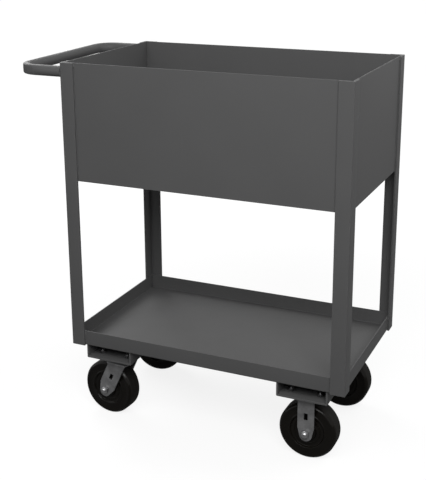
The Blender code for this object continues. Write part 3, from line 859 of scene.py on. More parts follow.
@dataclass(frozen=True)
class FinishSet:
    """The materials of the cart."""

    paint: bpy.types.Material
    edge_paint_wear_and_highlight: bpy.types.Material
    weld: bpy.types.Material
    zinc: bpy.types.Material
    zinc_edge_wear_and_highlight: bpy.types.Material
    bright: bpy.types.Material
    bearing: bpy.types.Material
    channel_bolt_painted_shade: bpy.types.Material
    resin: bpy.types.Material

    @classmethod
    def made(cls) -> FinishSet:
        """Makes every material of the cart.

        Returns:
            The materials.
        """
        paint = PowderCoat("grey_powder_coat", (0.077, 0.077, 0.0775), 0.50, specular=0.12)
        zinc = ZincPlate("dull_zinc_plate", (0.158, 0.158, 0.160), 0.40, metallic=0.40, specular=0.3)
        bright = BrightSteel("bright_fastener_steel", (0.40, 0.40, 0.405), 0.15, metallic=1.0)
        resin = WheelResin("black_wheel_resin", (0.0056, 0.0049, 0.0040), 0.14, specular=0.12)
        # The rounded paint edges take a lighter grey: partly rubbed paint with chips, partly a painted
        # highlight along the edges.
        rubbed = (0.084, 0.084, 0.0845)
        worn = replace(paint, name="rubbed_paint_edge", colour=rubbed, roughness=0.45, chips=0.15)
        weld = replace(paint, name="painted_weld", roughness=0.44, cloud=0.14, dust=0.0)
        # The rounded edges of the plated parts take a lighter, smoother zinc: partly rubbed plating, partly a
        # painted highlight along the edges.
        rim = replace(zinc, name="zinc_plate_edge", colour=(0.19, 0.19, 0.192), roughness=0.36)
        race = replace(bright, name="bearing_steel", colour=(0.30, 0.295, 0.285), roughness=0.30)
        # The bolts inside the channels take a much darker steel than the axle bolts: painted shade for the
        # dark inside of the channels.
        bolt = replace(bright, name="plated_bolt_steel", colour=(0.18, 0.18, 0.185), roughness=0.32)
        finishes = (paint, worn, weld, zinc, rim, bright, race, bolt, resin)
        return cls(*(finish.material() for finish in finishes))


# Pieces


def new_object(name: str, data: bpy.types.ID) -> bpy.types.Object:
    """Makes an object of some data and puts it into the scene.

    Args:
        name: The object's name.
        data: Its mesh, light or camera.

    Returns:
        The object.
    """
    item = bpy.data.objects.new(name, data)
    bpy.context.scene.collection.objects.link(item)
    return item


@dataclass
class Piece:
    """One visible piece, with the body that it rides on and the solids that it stands for.

    A piece with a wall is a sheet of that thickness around its shell. Where edge isn't zero, its
    crisp edges are rounded by that width and take the second finish, which is lighter: partly wear
    and partly a painted highlight along the edges.
    """

    name: str
    shell: Shell
    finishes: Sequence[bpy.types.Material]
    body: str
    slot: str
    stands_for: Sequence[str] = ()
    wall: float = 0.0
    edge: float = 0.0

    def mesh(self) -> bpy.types.Mesh:
        """Makes the mesh: points that meet are joined, and only crisp angles stay sharp.

        Returns:
            The mesh.
        """
        mesh = bpy.data.meshes.new(self.name)
        faces = [face for group in self.shell.faces for face in group.tolist()]
        mesh.from_pydata(self.shell.points.tolist(), [], faces)
        for name, values in self.shell.values.items():
            mesh.attributes.new(name, "FLOAT", "POINT").data.foreach_set("value", values.astype(np.float32))
        draft = bmesh.new()
        draft.from_mesh(mesh)
        bmesh.ops.remove_doubles(draft, verts=draft.verts, dist=WELD_DISTANCE)
        bmesh.ops.recalc_face_normals(draft, faces=draft.faces)
        draft.to_mesh(mesh)
        draft.free()
        mesh.shade_smooth()
        mesh.set_sharp_from_angle(angle=CRISP_ANGLE)
        for finish in self.finishes:
            mesh.materials.append(finish)
        return mesh

    def build(self) -> None:
        """Makes the piece's object and modifiers, and hangs it on its body."""
        item = new_object(self.name, self.mesh())
        if self.wall:
            sheet = item.modifiers.new("Wall", "SOLIDIFY")
            sheet.thickness = self.wall
            sheet.offset = 0
            sheet.use_even_offset = True
        if self.edge:
            rounding = item.modifiers.new("Edges", "BEVEL")
            rounding.width = self.edge
            rounding.segments = 2
            rounding.limit_method = "ANGLE"
            rounding.angle_limit = CRISP_ANGLE
            rounding.harden_normals = True
            rounding.material = 1
        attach(item, self.body)
        if self.stands_for:
            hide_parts(*self.stands_for)
        LOG.info("%s: %d faces on %s", self.name, len(item.data.polygons), self.body)


@dataclass
class Assembly:
    """What every sub-assembly has: the finishes, and a way to add each kind of piece."""

    finishes: FinishSet

    def add_painted(self, name: str, shell: Shell, *stands_for: str, edge: float = 0.0) -> None:
        """Adds a painted piece of the cart's body."""
        # With an edge, the rounded edges take the lighter edge grey, which is partly a painted highlight.
        paint = (self.finishes.paint, self.finishes.edge_paint_wear_and_highlight) if edge else (self.finishes.paint,)
        Piece(name, shell, paint, "cart_body", "powder_coat", stands_for, edge=edge).build()

    def add_weld(self, name: str, shell: Shell) -> None:
        """Adds beads of weld, painted with the cart's body."""
        Piece(name, shell, (self.finishes.weld,), "cart_body", "powder_coat").build()

    def add_plated(
        self, name: str, shell: Shell, body: str, *stands_for: str, wall: float = 0.0, edge: float = 0.0
    ) -> None:
        """Adds a zinc plated piece of a caster."""
        # With an edge, the rounded edges take the lighter edge zinc, which is partly a painted highlight.
        zinc = (self.finishes.zinc, self.finishes.zinc_edge_wear_and_highlight) if edge else (self.finishes.zinc,)
        Piece(name, shell, zinc, body, "zinc_steel", stands_for, wall, edge).build()


@dataclass
class CornerPosts(Assembly):
    """Four steel angles, open towards the middle of the cart, tacked to the sheets between them."""

    heel_radius: float = 0.0030
    root_radius: float = 0.0020
    toe_radius: float = 0.0012
    tip_radius: float = 0.0003
    edge: float = 0.0004
    tack_leg: float = 0.0024
    tack_length: float = 0.0100
    tack_heights: tuple[float, ...] = (0.9770, 0.7230, 0.2560)
    fillet_leg: float = 0.0015
    fillet_setback: float = 0.0003
    seam_points: int = 33

    def outline(self, end: End, side: Side) -> np.ndarray:
        """Draws one post, seen from above.

        Args:
            end: The post's end of the cart.
            side: The post's side.

        Returns:
            The points of the post's outline.
        """
        leg, wall = SIZES.post_leg, SIZES.post_wall
        corners = [
            (0, 0, self.heel_radius),
            (leg, 0, self.tip_radius),
            (leg, wall, self.toe_radius),
            (wall, wall, self.root_radius),
            (wall, leg, self.toe_radius),
            (0, leg, self.tip_radius),
        ]
        path = rounded_path(corners, steps=6)
        heel = np.array([end.sign * SIZES.length / 2 + SIZES.centre_x, side.sign * SIZES.width / 2])
        return heel - path * np.array([end.sign, side.sign])

    def seams(self, end: End, side: Side, spans: Sequence[tuple[float, float]], leg: float) -> Shell:
        """Lays beads where the toes of one post's flanges meet the sheets.

        Args:
            end: The post's end of the cart.
            side: The post's side.
            spans: The middle height and the length of each bead.
            leg: The size of the beads.

        Returns:
            The beads of both flanges.
        """
        lengthwise = SIZES.centre_x + end.sign * (SIZES.length / 2 - SIZES.post_leg)
        crosswise = side.sign * (SIZES.width / 2 - SIZES.post_leg)
        inner_x = SIZES.centre_x + end.sign * SIZES.inner_half_length
        inner_y = side.sign * SIZES.inner_half_width
        toes = (
            (lengthwise, inner_y, (-end.sign, 0, 0), (0, side.sign, 0)),
            (inner_x, crosswise, (0, -side.sign, 0), (end.sign, 0, 0)),
        )
        beads = [
            straight_bead((x, y, middle), 2, length, self.seam_points, inwards, outwards, leg)
            for middle, length in spans
            for x, y, inwards, outwards in toes
        ]
        return Shell.joined(beads)

    def build(self) -> None:
        """Builds the posts, their tack welds and the paint that fills the seams beside them."""
        tacks = [(middle, self.tack_length) for middle in self.tack_heights]
        sheets = ((SIZES.box_bottom_z, SIZES.rim_z - SIZES.box_bottom_z), (SIZES.foot_z, SIZES.tray_lip))
        fillets = [(low + rise / 2, rise - 2 * self.fillet_setback) for low, rise in sheets]
        for end in End:
            for side in Side:
                corner = f"{end.label}_{side.label}"
                post = prism(self.outline(end, side), SIZES.foot_z, SIZES.rim_z, ALONG_Z)
                self.add_painted(f"corner_angle_{corner}", post, f"post_{corner}", edge=self.edge)
                self.add_weld(f"tack_welds_{corner}", self.seams(end, side, tacks, self.tack_leg))
                self.add_painted(f"seam_fillets_{corner}", self.seams(end, side, fillets, self.fillet_leg))


@dataclass
class UpperBox(Assembly):
    """Four sheet panels and the floor pan of the deep box."""

    sway: float = 0.00014
    side_setback: float = 0.0020
    floor_lip: float = 0.0381
    tack_leg: float = 0.0022
    tack_length: float = 0.016
    tack_points: int = 41
    side_tacks: tuple[float, ...] = (-0.29, -0.145, 0.0, 0.145, 0.29)
    end_tacks: tuple[float, ...] = (-0.13, 0.0, 0.13)

    def panel(self, low: Sequence[float], high: Sequence[float], across: int) -> Shell:
        """Builds a sheet that is not quite flat.

        Both skins are moved sideways by the sway times a product of slow sine waves along the sheet,
        which is nothing at its edges.

        Args:
            low: The lowest corner of the sheet.
            high: The highest corner.
            across: The axis that the sheet's thickness lies on.

        Returns:
            A closed shell.
        """
        cells = [48, 48, 24]
        cells[across] = 1
        shell = block(low, high, cells)
        along = 1 - across
        u = (shell.points[:, along] - low[along]) / (high[along] - low[along])
        v = (shell.points[:, 2] - low[2]) / (high[2] - low[2])
        slow = np.sin(5.1 * u + 1.3) + 0.6 * np.sin(9.7 * u + 4 * v)
        shell.points[:, across] += self.sway * np.sin(np.pi * u) * np.sin(np.pi * v) * slow
        return shell

    def floor_tacks(self, half_x: float, half_y: float) -> Shell:
        """Lays the tacks between the floor pan's lip and the panels.

        Args:
            half_x: Half the outer length of the pan.
            half_y: Half its outer width.

        Returns:
            The beads.
        """
        level = SIZES.box_bottom_z + self.floor_lip
        middle_x = SIZES.centre_x
        spots = [
            ((middle_x + spot, side.sign * half_y, level), 0, (0, -side.sign, 0))
            for spot in self.side_tacks
            for side in Side
        ]
        spots += [
            ((middle_x + end.sign * half_x, spot, level), 1, (-end.sign, 0, 0))
            for spot in self.end_tacks
            for end in End
        ]
        beads = [
            straight_bead(middle, axis, self.tack_length, self.tack_points, inwards, (0, 0, 1), self.tack_leg)
            for middle, axis, inwards in spots
        ]
        return Shell.joined(beads)

    def build(self) -> None:
        """Builds the panels, the floor pan and the welds that hold the floor."""
        edge, bottom, top, middle_x = SIZES.sheet_edge, SIZES.box_bottom_z, SIZES.rim_z, SIZES.centre_x
        inner_x, inner_y = SIZES.inner_half_length, SIZES.inner_half_width
        inset = SIZES.sheet + SIZES.fit_gap
        half_x, half_y = inner_x - inset, inner_y - inset
        reach = inner_x - self.side_setback
        for side in Side:
            near, far = sorted((side.sign * (inner_y - SIZES.sheet), side.sign * inner_y))
            shell = self.panel((middle_x - reach, near, bottom), (middle_x + reach, far, top), across=1)
            self.add_painted(f"side_panel_{side.label}", shell, f"box_panel_{side.label}", edge=edge)
        for end in End:
            near, far = sorted(end.sign * np.array([inner_x - SIZES.sheet, inner_x]) + middle_x)
            shell = self.panel((near, -half_y, bottom), (far, half_y, top), across=0)
            self.add_painted(f"end_panel_{end.label}", shell, f"box_panel_{end.label}", edge=edge)
        pan = sheet_pan(half_x, half_y, bottom, self.floor_lip)
        self.add_painted("box_floor_pan", pan, "box_floor", edge=edge)
        self.add_weld("floor_tack_welds", self.floor_tacks(half_x, half_y))


def round_rectangle(half_x: float, half_y: float, radius: float) -> np.ndarray:
    """Draws a rectangle with round corners, with as many points whatever its size.

    One side and the quarter circle after it are turned about the middle by each of four quarters of a
    turn. A turn by a quarter swaps the rectangle's length and width.

    Args:
        half_x: Half the rectangle's length.
        half_y: Half its width.
        radius: The radius of its corners.

    Returns:
        The points of the outline.
    """
    ticks = np.linspace(-1, 1, 33)
    turn = np.linspace(0, np.pi / 2, 7)[1:-1]
    arc = radius * np.column_stack([np.cos(turn), np.sin(turn)])
    sides = []
    for quarter, (off, half) in enumerate([(half_x, half_y), (half_y, half_x)] * 2):
        run = half - radius
        side = np.column_stack([np.full(len(ticks), off), ticks * run])
        both = np.vstack([side, np.array([off - radius, run]) + arc])
        cos, sin = np.round([np.cos(quarter * np.pi / 2), np.sin(quarter * np.pi / 2)])
        sides.append(both @ np.array([[cos, sin], [-sin, cos]]))
    return np.vstack(sides)


def sheet_pan(half_x: float, half_y: float, bottom: float, lip: float) -> Shell:
    """Builds a pan bent from one sheet: a floor with a lip turned up all round.

    The pan is a stack of loops. Each is a rectangle with round corners, given by its inset from the
    outer skin and its height, and the loops run from the middle of the underside out round the bend,
    up the outer skin, over the lip's top and down the inner skin to the middle of the deck.

    Args:
        half_x: Half the outer length.
        half_y: Half the outer width.
        bottom: The height of the underside.
        lip: The height of the lip over the underside.

    Returns:
        A closed shell.
    """
    sheet, bend = SIZES.sheet, SIZES.sheet_bend
    inner_bend, least_radius = bend - sheet, 0.0012
    turn = np.linspace(0, np.pi / 2, 7)
    outer = np.column_stack([bend * (1 - np.sin(turn)), bottom + bend * (1 - np.cos(turn))])
    inner = np.column_stack([bend - inner_bend * np.sin(turn), bottom + bend - inner_bend * np.cos(turn)])
    top = np.array([[0.0, bottom + lip], [sheet, bottom + lip]])
    margin = np.array([0.34, 0.20, 0.10, 0.04, 0.012]) * half_y * 2
    under = np.column_stack([margin, np.full_like(margin, bottom)])
    deck = np.column_stack([margin[::-1], np.full_like(margin, bottom + sheet)])
    loops = []
    for inset, height in np.vstack([under, outer, top, inner[::-1], deck]):
        loop = round_rectangle(half_x - inset, half_y - inset, max(bend - inset, least_radius))
        loops.append(np.column_stack([loop[:, 0] + SIZES.centre_x, loop[:, 1], np.full(len(loop), height)]))
    return closed_stack(np.stack(loops))


@dataclass
class LowerTray(Assembly):
    """The low shelf with its lips turned up."""

    def build(self) -> None:
        """Builds the tray."""
        pan = sheet_pan(SIZES.inner_half_length, SIZES.inner_half_width, SIZES.foot_z, SIZES.tray_lip)
        self.add_painted("shelf_tray", pan, "lower_tray", edge=SIZES.sheet_edge)


@dataclass
class CasterChannels(Assembly):
    """The two channels across the underside, welded to the tray."""

    width: float = 0.1334
    wall: float = 0.0048
    heel_radius: float = 0.0030
    root_radius: float = 0.0015
    toe_radius: float = 0.0010
    tip_radius: float = 0.0004
    end_setback: float = 0.0102
    edge: float = 0.0005
    bead_leg: float = 0.0046
    bead_length: float = 0.034
    bead_points: int = 97
    bead_spots: tuple[float, ...] = (-0.165, 0.0, 0.165)

    def outline(self, axis_x: float) -> np.ndarray:
        """Draws a channel, seen along the cart's width.

        Args:
            axis_x: The X of the casters under the channel.

        Returns:
            The points of the outline.
        """
        left, right = axis_x - self.width / 2, axis_x + self.width / 2
        low, web, top = SIZES.plate_top + SIZES.fit_gap, SIZES.web_top, SIZES.foot_z - SIZES.fit_gap
        corners = [
            (left, low, self.heel_radius),
            (right, low, self.heel_radius),
            (right, top, self.tip_radius),
            (right - self.wall, top, self.toe_radius),
            (right - self.wall, web, self.root_radius),
            (left + self.wall, web, self.root_radius),
            (left + self.wall, top, self.toe_radius),
            (left, top, self.tip_radius),
        ]
        return rounded_path(corners, steps=6)

    def beads(self, axis_x: float) -> Shell:
        """Lays the welds between a channel's flanges and the tray.

        Args:
            axis_x: The X of the casters under the channel.

        Returns:
            The beads.
        """
        places = [(spot, sign) for spot in self.bead_spots for sign in (-1, 1)]
        beads = [
            straight_bead(
                (axis_x + sign * self.width / 2, spot, SIZES.foot_z),
                1,
                self.bead_length,
                self.bead_points,
                (sign, 0, 0),
                (0, 0, -1),
                self.bead_leg,
            )
            for spot, sign in places
        ]
        return Shell.joined(beads)

    def build(self) -> None:
        """Builds both channels and their welds."""
        reach = SIZES.width / 2 - self.end_setback
        for end, axis_x in SIZES.caster_axes:
            channel = prism(self.outline(axis_x), -reach, reach, ALONG_Y)
            node = f"caster_channel_{end.label}"
            self.add_painted(f"cross_channel_{end.label}", channel, node, edge=self.edge)
            self.add_weld(f"channel_welds_{end.label}", self.beads(axis_x))


@dataclass
class PushHandle(Assembly):
    """The bent tube between the rear posts, welded round at both ends."""

    radius: float = 0.01395
    reach: float = 0.1330
    drop: float = 0.0239
    bend_radius: float = 0.0500
    flattened: float = 0.0058
    weld_leg: float = 0.0026
    weld_points: int = 180
    lift: float = 0.0010
    cant: float = 0.0018
    sides: int = 56

    def canted(self, shell: Shell, arm: float) -> Shell:
        """Raises the tube by the lift, and its left arm over its right one by twice the cant."""
        rise = self.lift + self.cant * shell.points[:, 1:2] / arm
        return Shell(shell.points + rise * (0, 0, 1), shell.faces, shell.values)

    def weld_rings(self, face: float, arm: float, height: float) -> Shell:
        """Lays a ring of weld round each end of the tube, cut off where the post's face ends.

        Args:
            face: The X of the posts' rear faces.
            arm: How far each arm stands from the middle.
            height: The height of the tube.

        Returns:
            Both rings.
        """
        angle = np.arange(self.weld_points) * FULL_TURN / self.weld_points
        out = np.column_stack([0 * angle, np.cos(angle), np.sin(angle)])
        rings = [
            weld_bead(
                np.array([face, side.sign * arm, height]) + self.radius * out,
                np.array([-1.0, 0.0, 0.0]),
                out,
                self.weld_leg,
                ring=True,
            )
            for side in Side
        ]
        shell = self.canted(Shell.joined(rings), arm)
        shell.points[:, 1] = np.clip(shell.points[:, 1], -SIZES.width / 2, SIZES.width / 2)
        return shell

    def build(self) -> None:
        """Builds the tube and the weld rings."""
        height = SIZES.rim_z - self.drop
        face = SIZES.centre_x - SIZES.length / 2
        root, bar = face - SIZES.fit_gap, face - self.reach
        arm = SIZES.width / 2 - self.radius
        bend = self.bend_radius
        corners = [(root, -arm, 0), (bar, -arm, bend), (bar, arm, bend), (root, arm, 0)]
        path = refined(rounded_path(corners, closed=False, steps=28), 0.006)
        shell = self.canted(tube(path, height, self.radius, self.sides, self.flattened), arm)
        self.add_painted("handle_tube", shell, "push_handle")
        self.add_weld("handle_weld_rings", self.weld_rings(face, arm, height))


@dataclass(frozen=True)
class ForkShape:
    """The shape of a fork: both legs, their rake and the crown between them."""

    axle: tuple[float, float]
    crown: tuple[float, float]
    crown_top: float
    shelf: float | None = None
    thickness: float = 0.0048
    bend: float = 0.0030
    leg_width: float = 0.0485
    shoulder: float = 0.0145
    nose_radius: float = 0.0165
    nose_drop: float = 0.0055
    window: tuple[float, float] = (0.0102, 0.0195)
    window_rise: float = 0.0455
    below_window: float = 0.0075
    above_window: float = 0.007
    axle_hole: float = 0.0067
    inner_width: float = 0.0622
    straight: float = 0.006
    flare_drop: float = 0.004
    flare_rise: float = 0.0085
    point_step: float = 0.0025
    columns: int = 25
    rows: int = 23

    def nose(self) -> np.ndarray:
        """Draws the leg's lower outline from its right shoulder round the nose to its left one.

        Returns:
            The points of the outline.
        """
        half = self.leg_width / 2
        rise = self.shoulder + self.nose_drop
        taper = np.arccos(self.nose_radius / np.hypot(half, rise)) - np.arctan2(rise, half)
        tip = self.shoulder - half / np.tan(taper)
        corners = [(half, self.shoulder, 0), (0.0, tip, self.nose_radius), (-half, self.shoulder, 0)]
        return refined(rounded_path(corners, closed=False, steps=40), self.point_step)

    def row(self, half: float, height: float) -> np.ndarray:
        """Returns a level row of points across the leg."""
        return np.column_stack([np.linspace(-half, half, self.columns), np.full(self.columns, height)])

    def rectangle(self, half: float, low: float, high: float) -> np.ndarray:
        """Draws a rectangle in the leg's plane, from its lower left corner to the right and round.

        Args:
            half: Half its width.
            low: The height of its lower side.
            high: The height of its upper side.

        Returns:
            The points. Every rectangle has as many.
        """
        up = np.linspace(low, high, self.rows)[1:-1]
        right = np.column_stack([np.full(len(up), half), up])
        return np.vstack([self.row(half, low), right, self.row(half, high)[::-1], right[::-1] * (-1, 1)])

    def middle(self) -> Shell:
        """Builds the surface halfway through the fork's plate.

        Each leg is a band between the axle hole and the nose, and a band between the window and the
        rectangle around it, in the leg's own plane, where (a, h) lies at the axle plus a times the
        direction across the leg plus h times the direction along it. Above them the plate is one
        strip: its rows run up the leg, round the bend on a quarter circle, over the crown and down
        again, and each row spans the plate's width there.

        Returns:
            An open shell.
        """
        axle, crown = np.array(self.axle), np.array(self.crown)
        along = unit(crown - axle)
        across = np.array([along[1], -along[0]])
        wide, tall = self.window[0] / 2, self.window[1] / 2
        half, cut = self.leg_width / 2, self.shoulder + self.below_window
        top = self.window_rise + tall + self.above_window
        ramp = refined(np.array([[half, cut], [half, self.shoulder]]), self.point_step)
        nose = np.vstack([ramp[:-1], self.nose(), ramp[::-1][1:] * (-1, 1)])
        outer = np.vstack([nose, self.row(half, cut)[1:-1]])
        window = self.rectangle(wide, self.window_rise - tall, self.window_rise + tall)
        patches = (
            ring_patch(self.axle_hole * unit(outer), outer, 6),
            ring_patch(window, self.rectangle(half, cut, top), 5),
        )

        def upright(flat: np.ndarray) -> np.ndarray:
            """Returns where points (a, h) of the leg lie in X and Z."""
            return axle + flat[..., :1] * across + flat[..., 1:] * along

        shells = [Shell.of_grid(self.strip_rows(upright(self.row(half, top)), axle, along))]
        for leg_y in (-(self.inner_width + self.thickness) / 2, (self.inner_width + self.thickness) / 2):
            for patch in patches:
                flat = upright(patch)
                level = np.full((*flat.shape[:2], 1), leg_y)
                grid = np.concatenate([flat[..., :1], level, flat[..., 1:]], axis=-1)
                shells.append(Shell.of_grid(grid, wrap_columns=True))
        return Shell.joined(shells)

    def strip_rows(self, first: np.ndarray, axle: np.ndarray, along: np.ndarray) -> np.ndarray:
        """Works out the rows of the strip above the windows.

        Where the crown has a shelf, the strip's edges flare out to it on quarter circles: at share s
        of the flare's height they have gone 1 - sqrt(1 - s * s) of the way.

        Args:
            first: The row over the window, in X and Z.
            axle: The axle's X and Z.
            along: The direction of the leg.

        Returns:
            A grid of points from the one leg over the crown to the other.
        """
        mid = self.bend + self.thickness / 2
        spring = self.crown_top - self.bend - self.thickness
        hub_y = self.inner_width / 2 - self.bend
        half = self.leg_width / 2 / along[1]
        turn = np.linspace(0, np.pi / 2, 13)[1:]
        below = np.linspace(spring - self.straight, spring, 4)
        heights = np.concatenate([below, spring + mid * np.sin(turn)])
        sideways = np.concatenate([np.full(len(below), hub_y + mid), hub_y + mid * np.cos(turn)])
        middle_x = axle[0] + along[0] * (heights - axle[1]) / along[1]
        left, right = middle_x - half, middle_x + half
        if self.shelf is not None:
            flare = np.clip((heights - spring + self.flare_drop) / self.flare_rise, 0, 1)
            flare = 1 - np.sqrt(np.maximum(1 - flare**2, 0))
            left = (1 - flare) * left - flare * self.shelf
            right = (1 - flare) * right + flare * self.shelf
        share = np.linspace(0, 1, len(first))
        x = left[:, None] + share * (right - left)[:, None]
        leg = np.stack([x, sideways[:, None] + 0 * x, heights[:, None] + 0 * x], axis=-1)
        start = np.column_stack([first[:, 0], np.full(len(first), hub_y + mid), first[:, 1]])
        blend = np.linspace(0, 1, 7)[:-1, None, None]
        half_strip = np.concatenate([(1 - blend) * start + blend * leg[0], leg])
        crown_y = np.linspace(hub_y, -hub_y, 17)[1:-1]
        crown = np.repeat(half_strip[-1:], len(crown_y), axis=0)
        crown[..., 1] = crown_y[:, None]
        return np.concatenate([half_strip, crown, half_strip[::-1] * (1, -1, 1)])


@dataclass
class Fastener:
    """A hexagon bolt with its nut, built along Z with the head's seat at Z 0."""

    radius: float
    flats: float
    head: float
    nut_seat: float
    nut: float
    proud: float
    pitch: float
    nut_body: float = 0.78
    collar: float = 0.90
    collar_bend: float = 0.0009
    thread_overlap: float = 0.0008
    shank_sides: int = 32
    collar_sides: int = 48

    def shell(self) -> Shell:
        """Builds the head, shank, nut, the nut's collar and the threaded end.

        Returns:
            One shell that holds the closed shell of each.
        """
        head = hexagon_body(self.flats, self.head, bevel_below=False).placed(Matrix.Rotation(np.pi, 4, "X"))
        low, high = -self.head / 2, self.nut_seat + self.nut / 2
        shank = np.array([[0, low], [self.radius, low], [self.radius, high], [0, high]])
        body = self.nut * self.nut_body
        place = Matrix.Translation((0, 0, self.nut_seat))
        nut = hexagon_body(self.flats, body, bevel_below=True).placed(place)
        base, top = self.nut_seat + body / 2, self.nut_seat + self.nut
        radius = self.flats / 2 * self.collar
        corners = [(0, base, 0), (radius, base, 0), (radius, top, self.collar_bend), (0, top, 0)]
        collar = turned(rounded_path(corners, closed=False, steps=5), self.collar_sides, ring=False)
        end = threaded_end(self.radius, top - self.thread_overlap, top + self.proud, self.pitch)
        return Shell.joined([head, turned(shank, self.shank_sides, ring=False), nut, collar, end])


@dataclass
class PlateBolts(Assembly):
    """The four bolts and nuts that hold each caster's plate to its channel."""

    spacing: float = 0.0762
    turn: float = 0.33
    number_turn: float = 0.09
    side_turn: float = 0.05
    end_turn: float = 0.07

    def build(self) -> None:
        """Builds the sixteen bolts, each turned to an angle of its own."""
        seat = SIZES.plate_underside - SIZES.fit_gap
        nut_seat = SIZES.web_top + SIZES.fit_gap - seat
        shell = Fastener(0.00475, 0.0143, 0.0060, nut_seat, 0.0083, 0.0040, 0.0015).shell()
        bolts = [
            (end, axis_x, side, number)
            for end, axis_x in SIZES.caster_axes
            for side in Side
            for number in range(1, 5)
        ]
        for end, axis_x, side, number in bolts:
            ahead, left = divmod(number - 1, 2)
            x = axis_x + (ahead - 0.5) * self.spacing
            y = side.sign * SIZES.caster_y + (left - 0.5) * self.spacing
            turn = self.turn + self.number_turn * number
            turn += self.side_turn * side.sign + self.end_turn * end.sign
            place = Matrix.Translation((x, y, seat)) @ Matrix.Rotation(turn, 4, "Z")
            label = f"{end.label}_{side.label}_{number}"
            # The darker bolt steel is painted shade for the inside of the channels.
            finish = (self.finishes.channel_bolt_painted_shade,)
            stands_for = (f"caster_bolt_{label}",)
            bolt = shell.placed(place)
            Piece(f"plate_bolt_{label}", bolt, finish, "cart_body", "bright_steel", stands_for).build()


@dataclass
class Wheel(Assembly):
    """A moulded wheel with everything on its axle, built along Z and laid on the axle."""

    width: float = 0.0508
    shoulder: float = 0.0075
    skin_gap: float = 0.00001
    recess: float = 0.0475
    recess_depth: float = 0.0050
    hub_radius: float = 0.0230
    hub_proud: float = 0.0032
    bore: float = 0.0151
    washer_bore: float = 0.0100
    washer_radius: float = 0.0165
    washer: float = 0.0018
    washer_gap: float = 0.0003
    leg_face: float = 0.0362
    sides: int = 144
    washer_sides: int = 64

    def profile(self) -> np.ndarray:
        """Draws the wheel's cross-section: hub, recess with its moulded ring, side, shoulder and tread.

        Returns:
            A ring of points (radius, height).
        """
        radius, face = SIZES.wheel_radius - self.skin_gap, self.width / 2
        floor = face - self.recess_depth
        hub = face + self.hub_proud
        ridge = floor + 0.0014
        half = [
            (self.bore, hub, 0.0005),
            (self.hub_radius - 0.0045, hub, 0.0004),
            (self.hub_radius - 0.0040, hub - 0.0007, 0.0004),
            (self.hub_radius, hub - 0.0009, 0.0012),
            (self.hub_radius + 0.0026, floor + 0.0008, 0.0020),
            (0.0330, floor, 0.0015),
            (0.0337, ridge, 0.0005),
            (0.0352, ridge, 0.0005),
            (0.0358, floor, 0.0005),
            (self.recess - 0.0048, floor, 0.0014),
            (self.recess - 0.0014, face - 0.0001, 0.0009),
            (self.recess + 0.0010, face, 0.0009),
            (self.recess + 0.0024, face - 0.0010, 0.0010),
            (0.0600, face - 0.0018, 0.0300),
            (radius - 0.0070, face - 0.0004, 0.0014),
            (radius - 0.0046, face - 0.0022, 0.0014),
            (radius - 0.0002, face - self.shoulder, 0.0030),
            (radius, 0.0080, 0.0),
        ]
        mirrored = [(r, -z, bend) for r, z, bend in reversed(half)]
        path = rounded_path(half + mirrored, steps=5)
        return refined(np.vstack([path, path[:1]]), 0.0045)[:-1]

    def washers(self) -> Shell:
        """Builds the thrust washers between the hub and the fork's legs.

        Returns:
            Both washers.
        """
        low = self.width / 2 + self.hub_proud + self.washer_gap
        high = low + self.washer
        corners = [
            (self.washer_bore, low, 0.0002),
            (self.washer_radius, low, 0.0004),
            (self.washer_radius, high, 0.0004),
            (self.washer_bore, high, 0.0002),
        ]
        rim = rounded_path(corners, steps=3)
        return Shell.joined([turned(rim * (1, sign), self.washer_sides) for sign in (-1, 1)])

    def build(self, corner: str, centre: Vector, axle: Vector, fork_body: str) -> None:
        """Builds the wheel, its axle bolt and its washers.

        Args:
            corner: The corner of the cart, as the names have it.
            centre: The middle of the wheel.
            axle: The direction of the axle, outboard.
            fork_body: The body that the axle rides on.
        """
        place = Matrix.Translation(centre) @ axle.to_track_quat("Z", "Y").to_matrix().to_4x4()
        wheel = turned(self.profile(), self.sides).placed(place)
        resin = (self.finishes.resin,)
        wheel_body, node = f"wheel_{corner}_body", f"wheel_{corner}"
        Piece(f"moulded_wheel_{corner}", wheel, resin, wheel_body, "wheel_resin", (node,)).build()
        bolt = Fastener(0.00635, 0.01905, 0.0079, 2 * self.leg_face, 0.0105, 0.0030, 0.0018).shell()
        bolt = bolt.placed(place @ Matrix.Translation((0, 0, -self.leg_face)))
        bright, node = (self.finishes.bright,), f"axle_bolt_{corner}"
        Piece(f"axle_fastener_{corner}", bolt, bright, fork_body, "bright_steel", (node,)).build()
        self.add_plated(f"thrust_washers_{corner}", self.washers().placed(place), fork_body)


